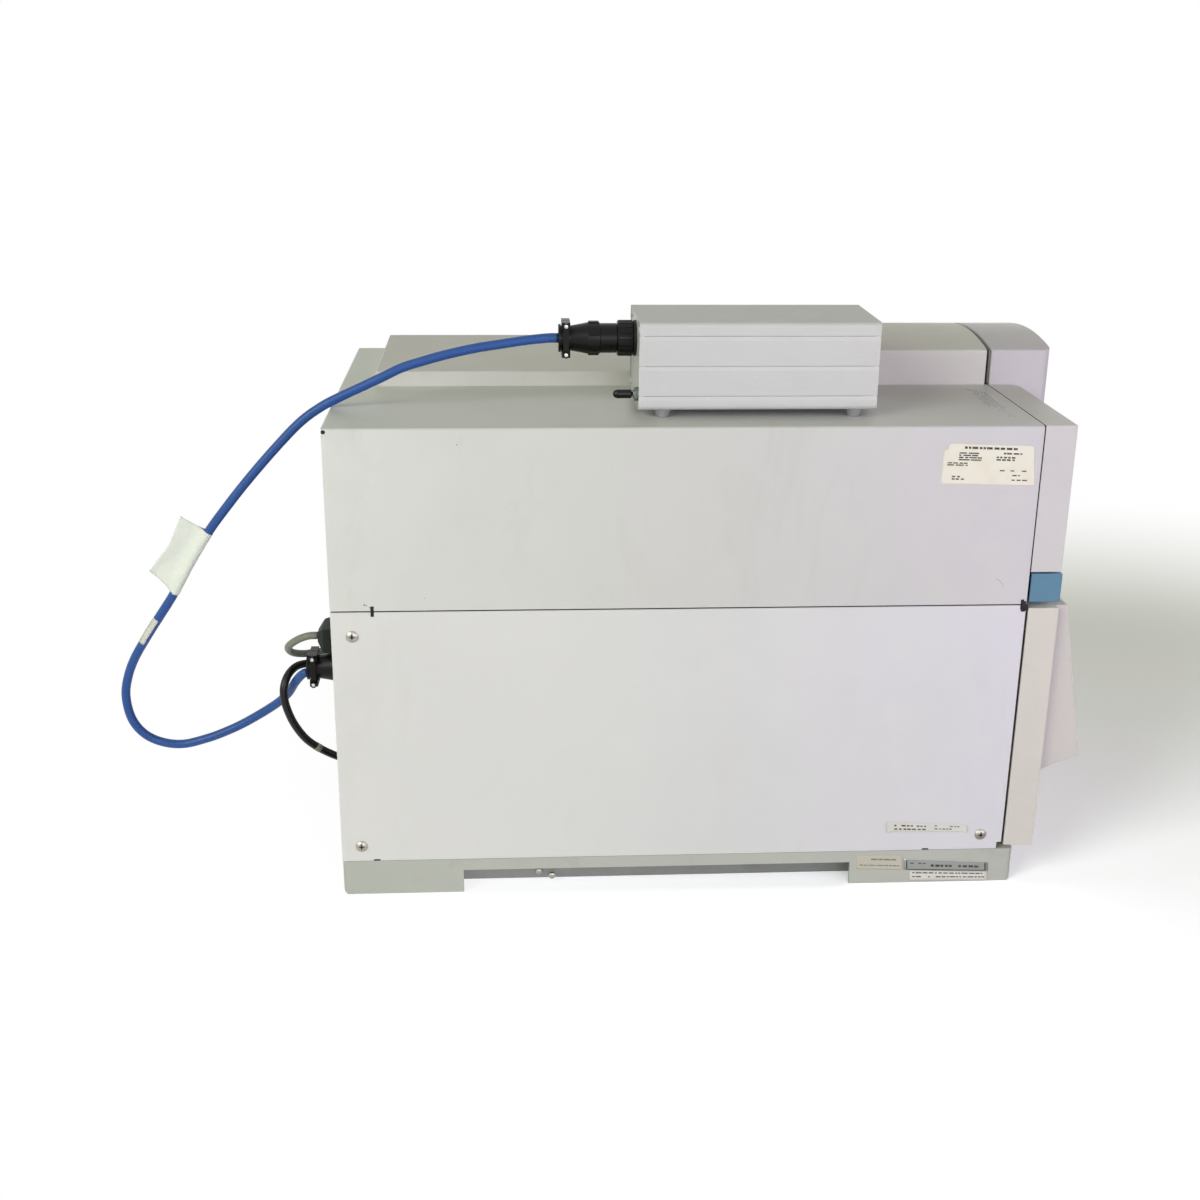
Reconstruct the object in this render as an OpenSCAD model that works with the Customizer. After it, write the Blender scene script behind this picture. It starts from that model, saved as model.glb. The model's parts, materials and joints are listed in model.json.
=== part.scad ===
// Benchtop quadrupole mass spectrometer with a gauge controller on its deck.
// Lengths are millimetres. Inside place() the corner of the covers at the rear, on the
// near side, at table height is (0, 0, 0); X runs to the front, Y to the far side, Z up.

/* [Base tray] */
// How far the base tray reaches past the covers at the front
base_over = 10; // [8:1:20]
// Width of the instrument across the front
body_w = 300; // [290:5:340]
// Height of the base tray
base_h = 28; // [24:1:34]
// Wall of the base tray
tray_wall = 3; // [2:0.5:4]
// Start of the hand recess in the side skirt
recess_x = 91; // [60:1:140]
// Length of the hand recess
recess_l = 297; // [180:1:330]
// Height of the hand recess
recess_h = 18.7; // [12:0.1:20]
// Inset of the steel pan behind the skirt
pan_inset = 19.4; // [14:0.1:30]

/* [Covers] */
// Length of the sheet covers, rear to front
cover_l = 505; // [480:5:540]
// Height of the flat top deck
deck_z = 362; // [355:1:372]
// Height of the seam between lower and upper covers
seam_z = 228.5; // [215:0.5:240]
// Sheet thickness of the covers
cover_t = 1.5; // [1:0.5:2]
// Visible gap between neighbouring covers
seam_gap = 1; // [0.4:0.1:2]
// Width of the folded lips of the covers
lip = 10; // [6:1:14]
// Distance of the rear fixing screws from the covers' rear edge
screw_end = 15; // [12:0.5:20]
// Distance of the front fixing screw from the covers' front edge
screw_front = 17; // [12:0.5:20]
// Height of the lower fixing screws above the base tray
screw_rise = 12.8; // [10:0.1:20]
// Drop of the upper fixing screw below the seam
screw_drop = 18.8; // [14:0.1:20]
// Diameter of the screw shanks
screw_d = 3.5; // [3:0.5:4]

/* [Front] */
// Depth of the near front bezel
bezel_d = 23.1; // [18:0.1:30]
// Wall of the moulded front pieces
bezel_wall = 2.5; // [2:0.5:3.5]
// Height of the accent bar's lower edge above the seam
accent_rise = 1.7; // [1:0.1:4]
// Height of the accent bar
accent_h = 21.8; // [14:0.1:30]
// Gap between the accent bar and the piece above it
accent_gap = 1.7; // [1:0.1:3]
// Depth of the lower bezel
lower_d = 22.8; // [18:0.1:28]
// Gap between the base tray and the lower bezel
lower_gap = 3; // [2:0.5:5]
// Gap between the lower bezel and the accent bar
lower_drop = 4.5; // [2:0.5:8]
// Width of the sloped control panel housing
panel_w = 180; // [150:5:220]
// Set-back of the panel housing from the near side
panel_y = 6; // [4:1:20]
// How far the housing stands out at its lower edge
panel_out = 30.2; // [26:0.1:36]
// How far the housing stands out at its top edge
panel_top_out = 8.2; // [6:0.1:12]
// Width of a key
key_w = 15; // [12:1:18]
// Height of a key
key_h = 8; // [6:1:10]
// Clearance round each key
key_gap = 0.4; // [0.3:0.1:0.6]
// Travel of a key
key_travel = 1; // [0.6:0.1:1.4]
// Diameter of the power button
power_d = 16; // [12:1:20]

/* [Analyzer cover] */
// Width of the analyzer cover
hump_w = 159; // [150:1:170]
// Rear edge of the analyzer cover
hump_x = 27.2; // [26:0.1:40]
// Height of the low rear stretch above the deck
low_rise = 11.5; // [8:0.5:18]
// Start of the rise to the arched stretch
rise_x = 322; // [300:1:400]
// Length of the rise
rise_l = 26; // [16:1:40]
// Height of the arch's crown above the deck
crown_rise = 34; // [28:0.5:40]
// Radius of the arch
arch_r = 286; // [250:1:320]
// Gap between the analyzer cover and the window cover
finger_gap = 3.7; // [2:0.1:5]
// Depth of the window cover
window_d = 47.5; // [40:0.5:54]
// Wall of the analyzer cover and the window cover
hump_wall = 2.5; // [2:0.5:3.5]
// Height of the analyzer cover's far edge above the inlet port's axis
skirt_over = 29.5; // [26:0.5:36]

/* [Rear] */
// Depth of the connector recess at the rear
recess_d = 30; // [24:1:40]
// Size of the cooling fan frame
fan_size = 119; // [92:1:120]
// Depth of the cooling fan
fan_depth = 25; // [20:1:28]

/* [Vacuum system] */
// Length of the vacuum manifold
manifold_l = 320; // [300:5:330]
// Width of the vacuum manifold
manifold_w = 92; // [80:1:100]
// Height of the vacuum manifold
manifold_h = 84; // [76:1:88]
// Wall of the manifold
manifold_wall = 12; // [8:1:14]
// Radius of one quadrupole rod
rod_r = 6; // [4:0.5:7]
// Radius of the field circle between the rods
field_r = 5.3; // [4:0.1:6]
// Radius of the turbo pump body
pump_r = 50; // [46:1:54]
// Radius of the turbo pump rotor
rotor_r = 40; // [34:1:42]
// Bore of the inlet port on the far side
port_r = 13; // [10:1:15]
// Outer radius of the foreline spigot
spigot_r = 9; // [7:0.5:10]

/* [Gauge controller] */
// Rear end of the controller, from the rear of the covers
ctrl_x = 221; // [215:1:250]
// Near side of the controller, from the near side of the covers
ctrl_y = 24.4; // [20:0.1:40]
// Length of the controller
ctrl_l = 168; // [150:1:180]
// Width of the controller
ctrl_w = 82; // [76:1:90]
// Height of the controller body
ctrl_h = 62; // [56:1:70]
// Height of its feet
foot_h = 6.3; // [4:0.1:10]
// Wall of the extruded shell
shell_wall = 2.2; // [1.6:0.1:3]
// Thickness of the end plates
end_t = 2.6; // [2:0.1:4]

/* [Cords] */
// Diameter of the blue gauge cable
blue_d = 7; // [6:0.5:8]
// Diameter of the grey data cable
grey_d = 5.8; // [5:0.1:6.5]
// Diameter of the black pump lead
black_d = 6.2; // [5:0.1:6.5]
// Radius of the coupling ring of a circular plug
ring_r = 13; // [12:0.1:14]

/* [Hidden] */
$fn = 48;
e = 0.01;
touch = 0.3;
base_l = cover_l + base_over;
hump_y = body_w - hump_w;
low_z = deck_z + low_rise;
crown_z = deck_z + crown_rise;

module place() translate([-base_l / 2, -body_w / 2, 0]) children();
module block(x, y, z) translate([x[0], y[0], z[0]]) cube([x[1] - x[0], y[1] - y[0], z[1] - z[0]]);
module rod_x(x, y, z, r) translate([x[0], y, z]) rotate([0, 90, 0]) cylinder(r = r, h = x[1] - x[0]);
module rod_y(x, y, z, r) translate([x, y[0], z]) rotate([-90, 0, 0]) cylinder(r = r, h = y[1] - y[0]);
module rod_z(x, y, z, r) translate([x, y, z[0]]) cylinder(r = r, h = z[1] - z[0]);
module turned_x(x, y, z) translate([x, y, z]) rotate([0, 90, 0]) rotate_extrude() children();
module rounded(l, w, r) {
    translate([r, 0]) square([l - 2 * r, w]);
    translate([0, r]) square([l, w - 2 * r]);
    for (x = [r, l - r], y = [r, w - r]) translate([x, y]) circle(r);
}
// A section drawn as X, Z and carried along Y.
module section_y(y) translate([0, y[1], 0]) rotate([90, 0, 0]) linear_extrude(y[1] - y[0]) children();
// A section drawn as Y, Z and carried along X.
module section_x(x) translate([x[0], 0, 0]) rotate([90, 0, 90]) linear_extrude(x[1] - x[0]) children();

// ---- base ----
tray_r = 4;
tray_plate = 4;
pan_t = 1.5;
pan_end = 12;

module base_tray() color([0.72, 0.74, 0.70]) place() intersection() {
    difference() {
        linear_extrude(base_h) rounded(base_l, body_w, tray_r);
        translate([tray_wall, tray_wall, -1])
            linear_extrude(base_h - tray_plate + 1)
                rounded(base_l - 2 * tray_wall, body_w - 2 * tray_wall, tray_r - tray_wall + 0.5);
        block([recess_x, recess_x + recess_l], [-1, body_w + 1], [-1, recess_h]);
    }
    section_y([-1, body_w + 1]) rounded(base_l, base_h + tray_r, tray_r);
}

pan_x = [pan_end, base_l - pan_end];
pan_y = [pan_inset, body_w - pan_inset];
module base_pan() color([0.60, 0.62, 0.60]) place() difference() {
    block(pan_x, pan_y, [0, base_h - tray_plate]);
    block([pan_x[0] + pan_t, pan_x[1] - pan_t], [pan_y[0] + pan_t, pan_y[1] - pan_t], [pan_t, base_h]);
}

// ---- chassis ----
frame_t = 2;
frame_y = [cover_t, cover_t + frame_t];
floor_z = [base_h, base_h + frame_t];
panel_x = [recess_d, recess_d + cover_t];
wall_x = [cover_l - 7, cover_l - 5];
part_y = [hump_y - 5, hump_y - 3];
shelf_z = [seam_z, seam_z + frame_t];

// Where the vacuum system stands: the manifold on the shelf, the pump hanging from it.
front_room = 35;
side_room = 38;
manifold_lift = 20;
pump_hang = 92;
manifold_x = [cover_l - front_room - manifold_l, cover_l - front_room];
manifold_y = [body_w - side_room - manifold_w, body_w - side_room];
manifold_z = [shelf_z[1] + manifold_lift, shelf_z[1] + manifold_lift + manifold_h];
pump_x = manifold_x[0] + 150;
pump_y = (manifold_y[0] + manifold_y[1]) / 2;
pump_z = [shelf_z[0] - pump_hang, manifold_z[0]];
inlet_x = manifold_x[1] - 40;
inlet_z = (manifold_z[0] + manifold_z[1]) / 2;
skirt_z = inlet_z + skirt_over;

under_z = deck_z - cover_t;
side_x = [4, wall_x[1]];
rail_half = 12;
rail_z = [seam_z - rail_half, seam_z + rail_half];
post_w = 24;
screw_x = [screw_end, screw_end, cover_l - screw_front];
screw_z = [seam_z - screw_drop, base_h + screw_rise, base_h + screw_rise];
hole_play = 0.1;
wall_hole_y = [40, hump_y - 20];
wall_hole_z = [60, seam_z - 20];
wall_top = skirt_z - 4;
ledge_over = 4;
pump_gap = 3;
knob_gap = 3;

module near_side() children();
module far_side() translate([0, body_w, 0]) mirror([0, 1, 0]) children();

// One side frame: a folded sheet with two windows, drilled behind the cover screws.
module side_frame() difference() {
    block(side_x, frame_y, [floor_z[1], rail_z[1]]);
    block([side_x[0] + post_w, side_x[1] - post_w], [0, 2 * frame_y[1]], [floor_z[1] + post_w, rail_z[0]]);
    for (i = [0:2]) rod_y(screw_x[i], [0, 2 * frame_y[1]], screw_z[i], screw_d / 2 + hole_play);
}
module chassis() color([0.70, 0.71, 0.72]) place() {
    block(side_x, [cover_t, body_w - cover_t], floor_z);
    near_side() side_frame();
    far_side() side_frame();
    difference() {
        block(wall_x, [frame_y[1], body_w - frame_y[1]], [floor_z[1], wall_top]);
        block([wall_x[0] - 1, wall_x[1] + 1], wall_hole_y, wall_hole_z);
        rod_x([wall_x[0] - 1, wall_x[1] + 1], valve_y, valve_z, knob_r + knob_gap);
    }
    block([panel_x[1], wall_x[0]], part_y, [floor_z[1], under_z]);
    block([ledge_x, wall_x[0]], [part_y[1], hump_y + hump_wall + ledge_over], [ledge_z - frame_t, ledge_z]);
    difference() {
        block([shelf_x, wall_x[0]], [part_y[1], body_w - frame_y[1]], shelf_z);
        rod_z(pump_x, pump_y, [shelf_z[0] - 1, shelf_z[1] + 1], pump_r + pump_gap);
    }
}

// ---- covers ----
lower_span = [base_h + touch, seam_z - seam_gap / 2];
upper_span = [seam_z + seam_gap / 2, deck_z];
slot_w = 2.5;
slot_h = 7;
notch_x = [30, cover_l - 3];
pry_x = [26, cover_l - 59];
pry_h = 1.2;
corner_l = 3.5;
corner_h = 5.5;
hood_z = deck_z - 16;
return_z = deck_z - 14;
ledge_z = deck_z - 15;
ledge_x = hump_x + 8;
shelf_x = recess_d + cover_t + fan_depth + 4;
hole_r = port_r + 9;

module lower_panel() difference() {
    union() {
        block([0, cover_l], [0, cover_t], lower_span);
        block([0, cover_t], [0, lip], lower_span);
    }
    for (i = [0:2]) rod_y(screw_x[i], [-1, 2 * cover_t], screw_z[i], screw_d / 2 + touch);
    block([cover_l - corner_l, cover_l + 1], [-1, lip], [0, lower_span[0] + corner_h]);
    for (x = notch_x)
        block([x - slot_w / 2, x + slot_w / 2], [-1, cover_t + 1], [lower_span[1] - slot_h / 2, seam_z]);
    for (x = pry_x) block([x - slot_w, x + slot_w], [-1, cover_t + 1], [0, lower_span[0] + pry_h]);
}
module lower_cover() color([0.85, 0.85, 0.83]) place() near_side() lower_panel();
module lower_cover_far() color([0.85, 0.85, 0.83]) place() far_side() lower_panel();

module seam_slots() for (x = notch_x)
    block([x - slot_w / 2, x + slot_w / 2], [-1, cover_t + 1], [seam_z, upper_span[0] + slot_h / 2]);

// Near upper cover: side wall and deck in one folding, with an arm behind the analyzer cover.
module upper_cover() color([0.85, 0.85, 0.84]) place() difference() {
    union() {
        block([0, cover_l], [0, cover_t], upper_span);
        block([0, cover_l], [0, hump_y - touch], [under_z, deck_z]);
        block([0, hump_x - touch], [0, body_w], [under_z, deck_z]);
        block([0, cover_t], [0, body_w], [hood_z, deck_z]);
        block([0, cover_t], [0, lip], upper_span);
        block([hump_x - touch - cover_t, hump_x - touch], [hump_y, body_w], [return_z, deck_z]);
        block([hump_x, cover_l], [hump_y - touch - cover_t, hump_y - touch], [return_z, deck_z]);
        block([0, hump_x - touch], [body_w - cover_t, body_w], [skirt_z, deck_z]);
    }
    seam_slots();
}
module upper_cover_far() color([0.85, 0.85, 0.84]) place() difference() {
    union() {
        far_side() block([0, cover_l], [0, cover_t], [upper_span[0], skirt_z - touch]);
        far_side() block([0, cover_t], [0, lip], [upper_span[0], skirt_z - touch]);
    }
    far_side() seam_slots();
    rod_y(inlet_x, [body_w - 5, body_w + 1], inlet_z, hole_r);
}

// Pan-head screws, shank into the side frame.
head_d = 8.8;
head_h = 2.2;
head_round = 6.5;
drive_l = 4.8;
drive_w = 1;
module pan_screw(shank) {
    cylinder(d = screw_d, h = shank);
    translate([0, 0, -head_h]) difference() {
        intersection() {
            cylinder(d = head_d, h = head_h);
            translate([0, 0, head_round - touch]) sphere(head_round);
        }
        for (a = [0, 90]) rotate(a) translate([-drive_l / 2, -drive_w / 2, -1]) cube([drive_l, drive_w, 2]);
    }
}
module side_screws() for (i = [0:2])
    translate([screw_x[i], 0, screw_z[i]]) rotate([-90, 0, 0]) pan_screw(frame_y[1] + 1);
module cover_screws() color([0.75, 0.74, 0.70]) place() {
    near_side() side_screws();
    far_side() side_screws();
}

// ---- front ----
front_x = cover_l + seam_gap;
accent_z = seam_z + accent_rise;
bezel_z = accent_z + accent_h + accent_gap;
lower_z = base_h + lower_gap;
lower_h = accent_z - lower_drop - lower_z;
tab_w = 24;
tab_y = 30;

// Tabs behind a front piece that reach back to the front wall of the chassis.
module wall_tabs(ys, z, x1, gap = 0) for (y = ys)
    block([wall_x[1] + gap, x1 + bezel_wall], [y - tab_w / 2, y + tab_w / 2], [z, z + bezel_wall]);
bezel_r = 8;
bezel_cut = 5.7;
near_front = cover_l + bezel_d + seam_gap / 2;

// Plan of the near bezel: flat front that turns back in a quarter round at the analyzer side.
module bezel_plan(w) {
    translate([front_x - w, w]) square([near_front - front_x - bezel_cut, hump_y - touch - 2 * w]);
    translate([front_x - w, w]) square([near_front - front_x, hump_y - touch - bezel_r - w]);
    translate([near_front - bezel_r, hump_y - touch - bezel_r]) circle(bezel_r - w);
}
module front_bezel() color([0.84, 0.83, 0.85]) place() {
    wall_tabs([tab_y, hump_y - tab_y], bezel_z, front_x);
    difference() {
        translate([0, 0, bezel_z]) linear_extrude(deck_z - bezel_z) intersection() {
            bezel_plan(0);
            translate([front_x, 0]) square([bezel_d, hump_y - touch]);
        }
        translate([0, 0, bezel_z + bezel_wall]) linear_extrude(deck_z - bezel_z - 2 * bezel_wall)
            bezel_plan(bezel_wall);
    }
}
front_gap = 2;
accent_d = 23;
accent_in = 0.5;
accent_x = [cover_l + front_gap, cover_l + front_gap + accent_d];
module accent_bar() color([0.37, 0.54, 0.65]) place() {
    wall_tabs([tab_y, body_w - tab_y], accent_z + accent_h - bezel_wall, accent_x[0]);
    difference() {
        block(accent_x, [accent_in, body_w - accent_in], [accent_z, accent_z + accent_h]);
        block([0, accent_x[1] - bezel_wall], [accent_in + bezel_wall, body_w - accent_in - bezel_wall],
            [accent_z + bezel_wall, accent_z + accent_h - bezel_wall]);
    }
}

lower_x = [cover_l + front_gap, cover_l + front_gap + lower_d];
power_y = body_w - 50;
power_z = 68;
switch_wall = 3;
panel_rim = 12;
foot_z = lower_z + 72;
foot_in_z = foot_z + 6;
panel_top = lower_z + lower_h;
panel_hole_z = panel_top - 40;
module lower_bezel() color([0.81, 0.79, 0.76]) place() {
    wall_tabs([tab_y, body_w - tab_y], lower_z, lower_x[0]);
    difference() {
        block(lower_x, [0, body_w], [lower_z, lower_z + lower_h]);
        block([0, lower_x[1] - bezel_wall], [bezel_wall, body_w - bezel_wall],
            [lower_z + bezel_wall, lower_z + lower_h - bezel_wall]);
        rod_x([0, lower_x[1] + 1], power_y, power_z, power_d / 2 + switch_wall);
        block([lower_x[0], lower_x[1] + 1], [panel_y + panel_rim, panel_y + panel_w - panel_rim],
            [foot_in_z, panel_hole_z]);
    }
}

// The sloped housing hangs on the lower bezel and leans out towards its lower edge.
panel_foot = [lower_x[1] + panel_out, foot_z];
panel_head = [lower_x[1] + panel_top_out, panel_top];
chin_slope = 0.387;
panel_back_z = foot_z - panel_out * chin_slope;
slope = atan2(panel_foot[0] - panel_head[0], panel_head[1] - panel_foot[1]);
under = atan2(panel_foot[1] - panel_back_z, panel_out);
n_front = [cos(slope), sin(slope)];
n_under = [sin(under), -cos(under)];
function inner_corner(p, a, b, w) = p - w * (a + b) / (1 + a * b);
panel_tilt = 90 - slope;
display_s = 86;
key_s = 40;
board_depth = 7;
board_t = 1.6;

// Local frame on the sloped face: Z out of the face, -X up the slope, Y across.
module on_panel(y, s) translate([panel_foot[0], 0, panel_foot[1]]) rotate([0, panel_tilt, 0])
    translate([-s, y, 0]) children();
module panel_block(h, w, z) translate([-h / 2, -w / 2, z[0]]) cube([h, w, z[1] - z[0]]);

key_margin = 20;
key_pitch = (panel_w - 2 * key_margin) / 6;
function key_y(i) = panel_y + key_margin + key_pitch * (i - 0.5);
panel_mid = panel_y + panel_w / 2;
display_w = 96;
display_h = 26;
display_rim = 3;
boss_in = 8;
boss_s = [22, 104];
boss_r = 2.5;
board_s = 63;
board_h = 98;
key_flange = 1.5;
key_flange_t = 0.8;
key_out = 1.4;

module panel_housing() color([0.80, 0.78, 0.79]) place() {
    difference() {
        section_y([panel_y, panel_y + panel_w])
            polygon([[lower_x[1], panel_back_z], panel_foot, panel_head, [lower_x[1], panel_top]]);
        section_y([panel_y + bezel_wall, panel_y + panel_w - bezel_wall]) polygon([
            [lower_x[1] - e, panel_back_z + bezel_wall / cos(under)],
            inner_corner(panel_foot, n_front, n_under, bezel_wall),
            inner_corner(panel_head, n_front, [0, 1], bezel_wall),
            [lower_x[1] - e, panel_top - bezel_wall]]);
        for (i = [1:6]) on_panel(key_y(i), key_s)
            panel_block(key_h + 2 * key_gap, key_w + 2 * key_gap, [-board_depth, 1]);
        on_panel(panel_mid, display_s) panel_block(display_h, display_w, [-board_depth, 1]);
    }
    for (y = [panel_y + boss_in, panel_y + panel_w - boss_in], s = boss_s)
        on_panel(y, s) translate([0, 0, -board_depth]) cylinder(r = boss_r, h = board_depth - bezel_wall + e);
}
module display_window() color([0.12, 0.14, 0.16, 0.8]) place() on_panel(panel_mid, display_s) {
    panel_block(display_h - key_gap, display_w - key_gap, [-bezel_wall, -0.6]);
    panel_block(display_h + 2 * display_rim, display_w + 2 * display_rim, [-board_depth, -bezel_wall - 0.2]);
}
module panel_board() color([0.10, 0.35, 0.20]) place()
    on_panel(panel_mid, board_s)
        panel_block(board_h, panel_w - boss_in, [-board_depth - board_t, -board_depth]);
module key(i) color([0.55, 0.56, 0.58]) place() on_panel(key_y(i), key_s) {
    panel_block(key_h, key_w, [-bezel_wall - touch, key_out]);
    panel_block(key_h + 2 * key_flange, key_w + 2 * key_flange,
        [-bezel_wall - touch - key_flange_t, -bezel_wall - touch]);
    translate([0, 0, -board_depth + key_travel + 0.2])
        cylinder(r = 2, h = board_depth - key_travel - bezel_wall - touch - key_flange_t - 0.1);
}
module key_1() key(1);
module key_2() key(2);
module key_3() key(3);
module key_4() key(4);
module key_5() key(5);
module key_6() key(6);

// Power switch: a panel-mount ring with its body behind, and the button that slides in it.
power_travel = 3;
power_well = 12;
button_l = 13.4;
module power_switch() color([0.18, 0.18, 0.19]) place() difference() {
    union() {
        rod_x([lower_x[1], lower_x[1] + 1.6], power_y, power_z, power_d / 2 + switch_wall + 2);
        rod_x([lower_x[1] - power_well - 6, lower_x[1]], power_y, power_z, power_d / 2 + switch_wall - 0.2);
    }
    rod_x([lower_x[1] - power_well, lower_x[1] + 3], power_y, power_z, power_d / 2 + touch);
}
module power_button() color([0.80, 0.80, 0.78]) place()
    turned_x(lower_x[1] - power_well + power_travel + touch, power_y, power_z)
        polygon([[0, 0], [power_d / 2, 0], [power_d / 2, button_l - 1], [power_d / 2 - 1, button_l],
            [0, button_l - 0.4]]);

// ---- analyzer cover and window cover ----
crown_y = hump_y + 62;
arch_c = [crown_y, crown_z - arch_r];
hump_end = cover_l - 2.5;
window_span = [hump_end + finger_gap, hump_end + finger_gap + window_d];
window_x = window_span[1];

// Section of the arched stretch, as Y, Z: its wall drawn in by w, its sides by side.
module arch_section(w, side, z0) intersection() {
    translate([arch_c[0], arch_c[1]]) circle(arch_r - w, $fn = 192);
    translate([hump_y + side, z0]) square([body_w - hump_y - 2 * side, crown_z + 5 - z0]);
}
// Height profile along X: low rear stretch, rise, then clear of the arch.
module rise_profile(w, z0) polygon([
    [hump_x + w, z0], [hump_end - w, z0], [hump_end - w, crown_z + 5], [rise_x + rise_l, crown_z + 5],
    [rise_x + rise_l, crown_z + 1 - w], [rise_x, low_z - w], [hump_x + w, low_z - w]]);

module analyzer_cover() color([0.82, 0.81, 0.80]) place() difference() {
    intersection() {
        section_x([hump_x, hump_end]) arch_section(0, 0, skirt_z);
        section_y([hump_y, body_w]) rise_profile(0, skirt_z);
    }
    intersection() {
        section_x([hump_x + hump_wall, hump_end - hump_wall]) arch_section(hump_wall, hump_wall, skirt_z - 1);
        section_y([hump_y, body_w]) rise_profile(hump_wall, skirt_z - 1);
    }
    block([0, cover_l], [0, body_w - hump_wall - e], [skirt_z - 1, ledge_z + touch]);
}

window_r = 6;
window_band = [window_span[0] - 1, window_x + 5];
module window_plan(w) {
    translate([window_span[0] - 2 * w, hump_y + w])
        square([window_x - window_span[0] - window_r + 2 * w, body_w - hump_y - 2 * w]);
    translate([window_x - window_r - 1, hump_y + window_r])
        square([window_r + 1 - w, body_w - hump_y - 2 * window_r]);
    for (y = [hump_y + window_r, body_w - window_r]) translate([window_x - window_r, y]) circle(window_r - w);
}
module window_cover() color([0.80, 0.79, 0.81]) place() {
    wall_tabs([hump_y + 40, body_w - 40], bezel_z, window_span[0], touch);
    difference() {
        intersection() {
            section_x(window_band) arch_section(0, -5, bezel_z);
            translate([0, 0, bezel_z - 1]) linear_extrude(200) window_plan(0);
        }
        intersection() {
            section_x(window_band) arch_section(hump_wall, -5, bezel_z + hump_wall);
            translate([0, 0, bezel_z]) linear_extrude(200) window_plan(hump_wall);
        }
    }
}

// ---- rear panel ----
plug_l = 56;
ring_gap = 0.4;
guard_pitch = 10;
dsub_w = 18;
dsub_h = 9;
lan_w = 12;
lan_h = 9;
mains_w = 24;
mains_h = 16;
mains_depth = 14;
lan_depth = 10;
fuse_l = 20;
socket_wall = 1.8;
fuse_rise = 38;
fuse_r = 5.8;
foreline_z = pump_z[0] + 13.5;
gauge_yz = [60, 163];
data_yz = [62, 187.5];
grey_yz = [111, 158];
black_up_yz = [88, 152];
black_low_yz = [84, 74];
fan_yz = [pump_y, seam_z + 40];
guard_r = fan_size / 2 - 3;
foreline_yz = [pump_y, foreline_z];
inlet_yz = [body_w - 50, 72];
outlet_yz = [body_w - 110, 72];
socket_r = 5;
lan_yz = [104, 292];
remote_yz = [56, 292];

module rear_panel() color([0.74, 0.75, 0.74]) place() difference() {
    union() {
        block(panel_x, [frame_y[1], body_w - frame_y[1]], [floor_z[1], ledge_z - frame_t]);
        block(panel_x, [frame_y[1], part_y[0]], [floor_z[1], under_z]);
    }
    rod_x([0, 60], fan_yz[0], fan_yz[1], guard_r - 2);
    rod_x([0, 60], gauge_yz[0], gauge_yz[1], neck_r + 2 * hole_play);
    rod_x([0, 60], foreline_yz[0], foreline_yz[1], spigot_r + 2);
    for (p = [grey_yz, black_up_yz, black_low_yz]) rod_x([0, 60], p[0], p[1], socket_r);
    for (p = [data_yz, remote_yz]) socket_block([0, 60], p, dsub_w + 6, dsub_h + 2);
    socket_block([0, 60], lan_yz, lan_w + 2 * socket_wall + 0.4, lan_h + 2 * socket_wall + 1.4);
    for (p = [inlet_yz, outlet_yz])
        socket_block([0, 60], p, mains_w + 2 * socket_wall + 0.4, mains_h + 2 * socket_wall + 0.4);
    for (i = [0:1]) rod_x([0, 60], fuse_y(i), inlet_yz[1] + fuse_rise, fuse_r + 0.2);
}
module socket_block(x, p, w, h) block(x, [p[0] - w / 2, p[0] + w / 2], [p[1] - h / 2, p[1] + h / 2]);
function fuse_y(i) = inlet_yz[0] - 12 + 24 * i;

module fan_guard() color([0.35, 0.36, 0.37]) place() translate([panel_x[0] - 2, fan_yz[0], fan_yz[1]])
    rotate([0, 90, 0]) {
        for (r = [14:guard_pitch:guard_r]) rotate_extrude() translate([r, 0.9]) circle(0.9, $fn = 16);
        for (a = [0:90:270]) rotate(a + 45) translate([0, -1, 0]) cube([guard_r + 4, 2, 1.8]);
        for (a = [0:90:270]) rotate(a + 45) translate([guard_r + 3, 0, 0]) cylinder(r = 3.5, h = 2);
        cylinder(r = 10, h = 1.8);
    }
fan_x = [panel_x[1], panel_x[1] + fan_depth];
hub_r = 19;
fan_sweep = fan_size / 2 - 3.5;
module fan_frame() color([0.16, 0.16, 0.17]) place() difference() {
    socket_block(fan_x, fan_yz, fan_size, fan_size);
    rod_x([fan_x[0] - 1, fan_x[1] - 4], fan_yz[0], fan_yz[1], fan_sweep);
    difference() {
        rod_x([fan_x[1] - 5, fan_x[1] + 1], fan_yz[0], fan_yz[1], fan_sweep);
        rod_x([fan_x[1] - 6, fan_x[1] + 2], fan_yz[0], fan_yz[1], hub_r);
        for (a = [0:90:270]) translate([0, fan_yz[0], fan_yz[1]]) rotate([a + 30, 0, 0])
            block([fan_x[1] - 6, fan_x[1] + 2], [0, fan_sweep + 1], [-3, 3]);
    }
}
module fan_rotor() color([0.22, 0.22, 0.23]) place() {
    rod_x([fan_x[0] + 3, fan_x[1] - 4.4], fan_yz[0], fan_yz[1], hub_r);
    intersection() {
        translate([(fan_x[0] + fan_x[1]) / 2 - 1, fan_yz[0], fan_yz[1]]) for (a = [0:360 / 7:359])
            rotate([a, 0, 0]) rotate([0, 0, 38]) translate([-11, -0.9, hub_r - 3]) cube([22, 1.8, fan_sweep]);
        difference() {
            rod_x([fan_x[0] + 3, fan_x[1] - 5], fan_yz[0], fan_yz[1], fan_sweep - 0.9);
            rod_x([fan_x[0] + 2, fan_x[1]], fan_yz[0], fan_yz[1], hub_r - 1);
        }
    }
}

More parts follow.
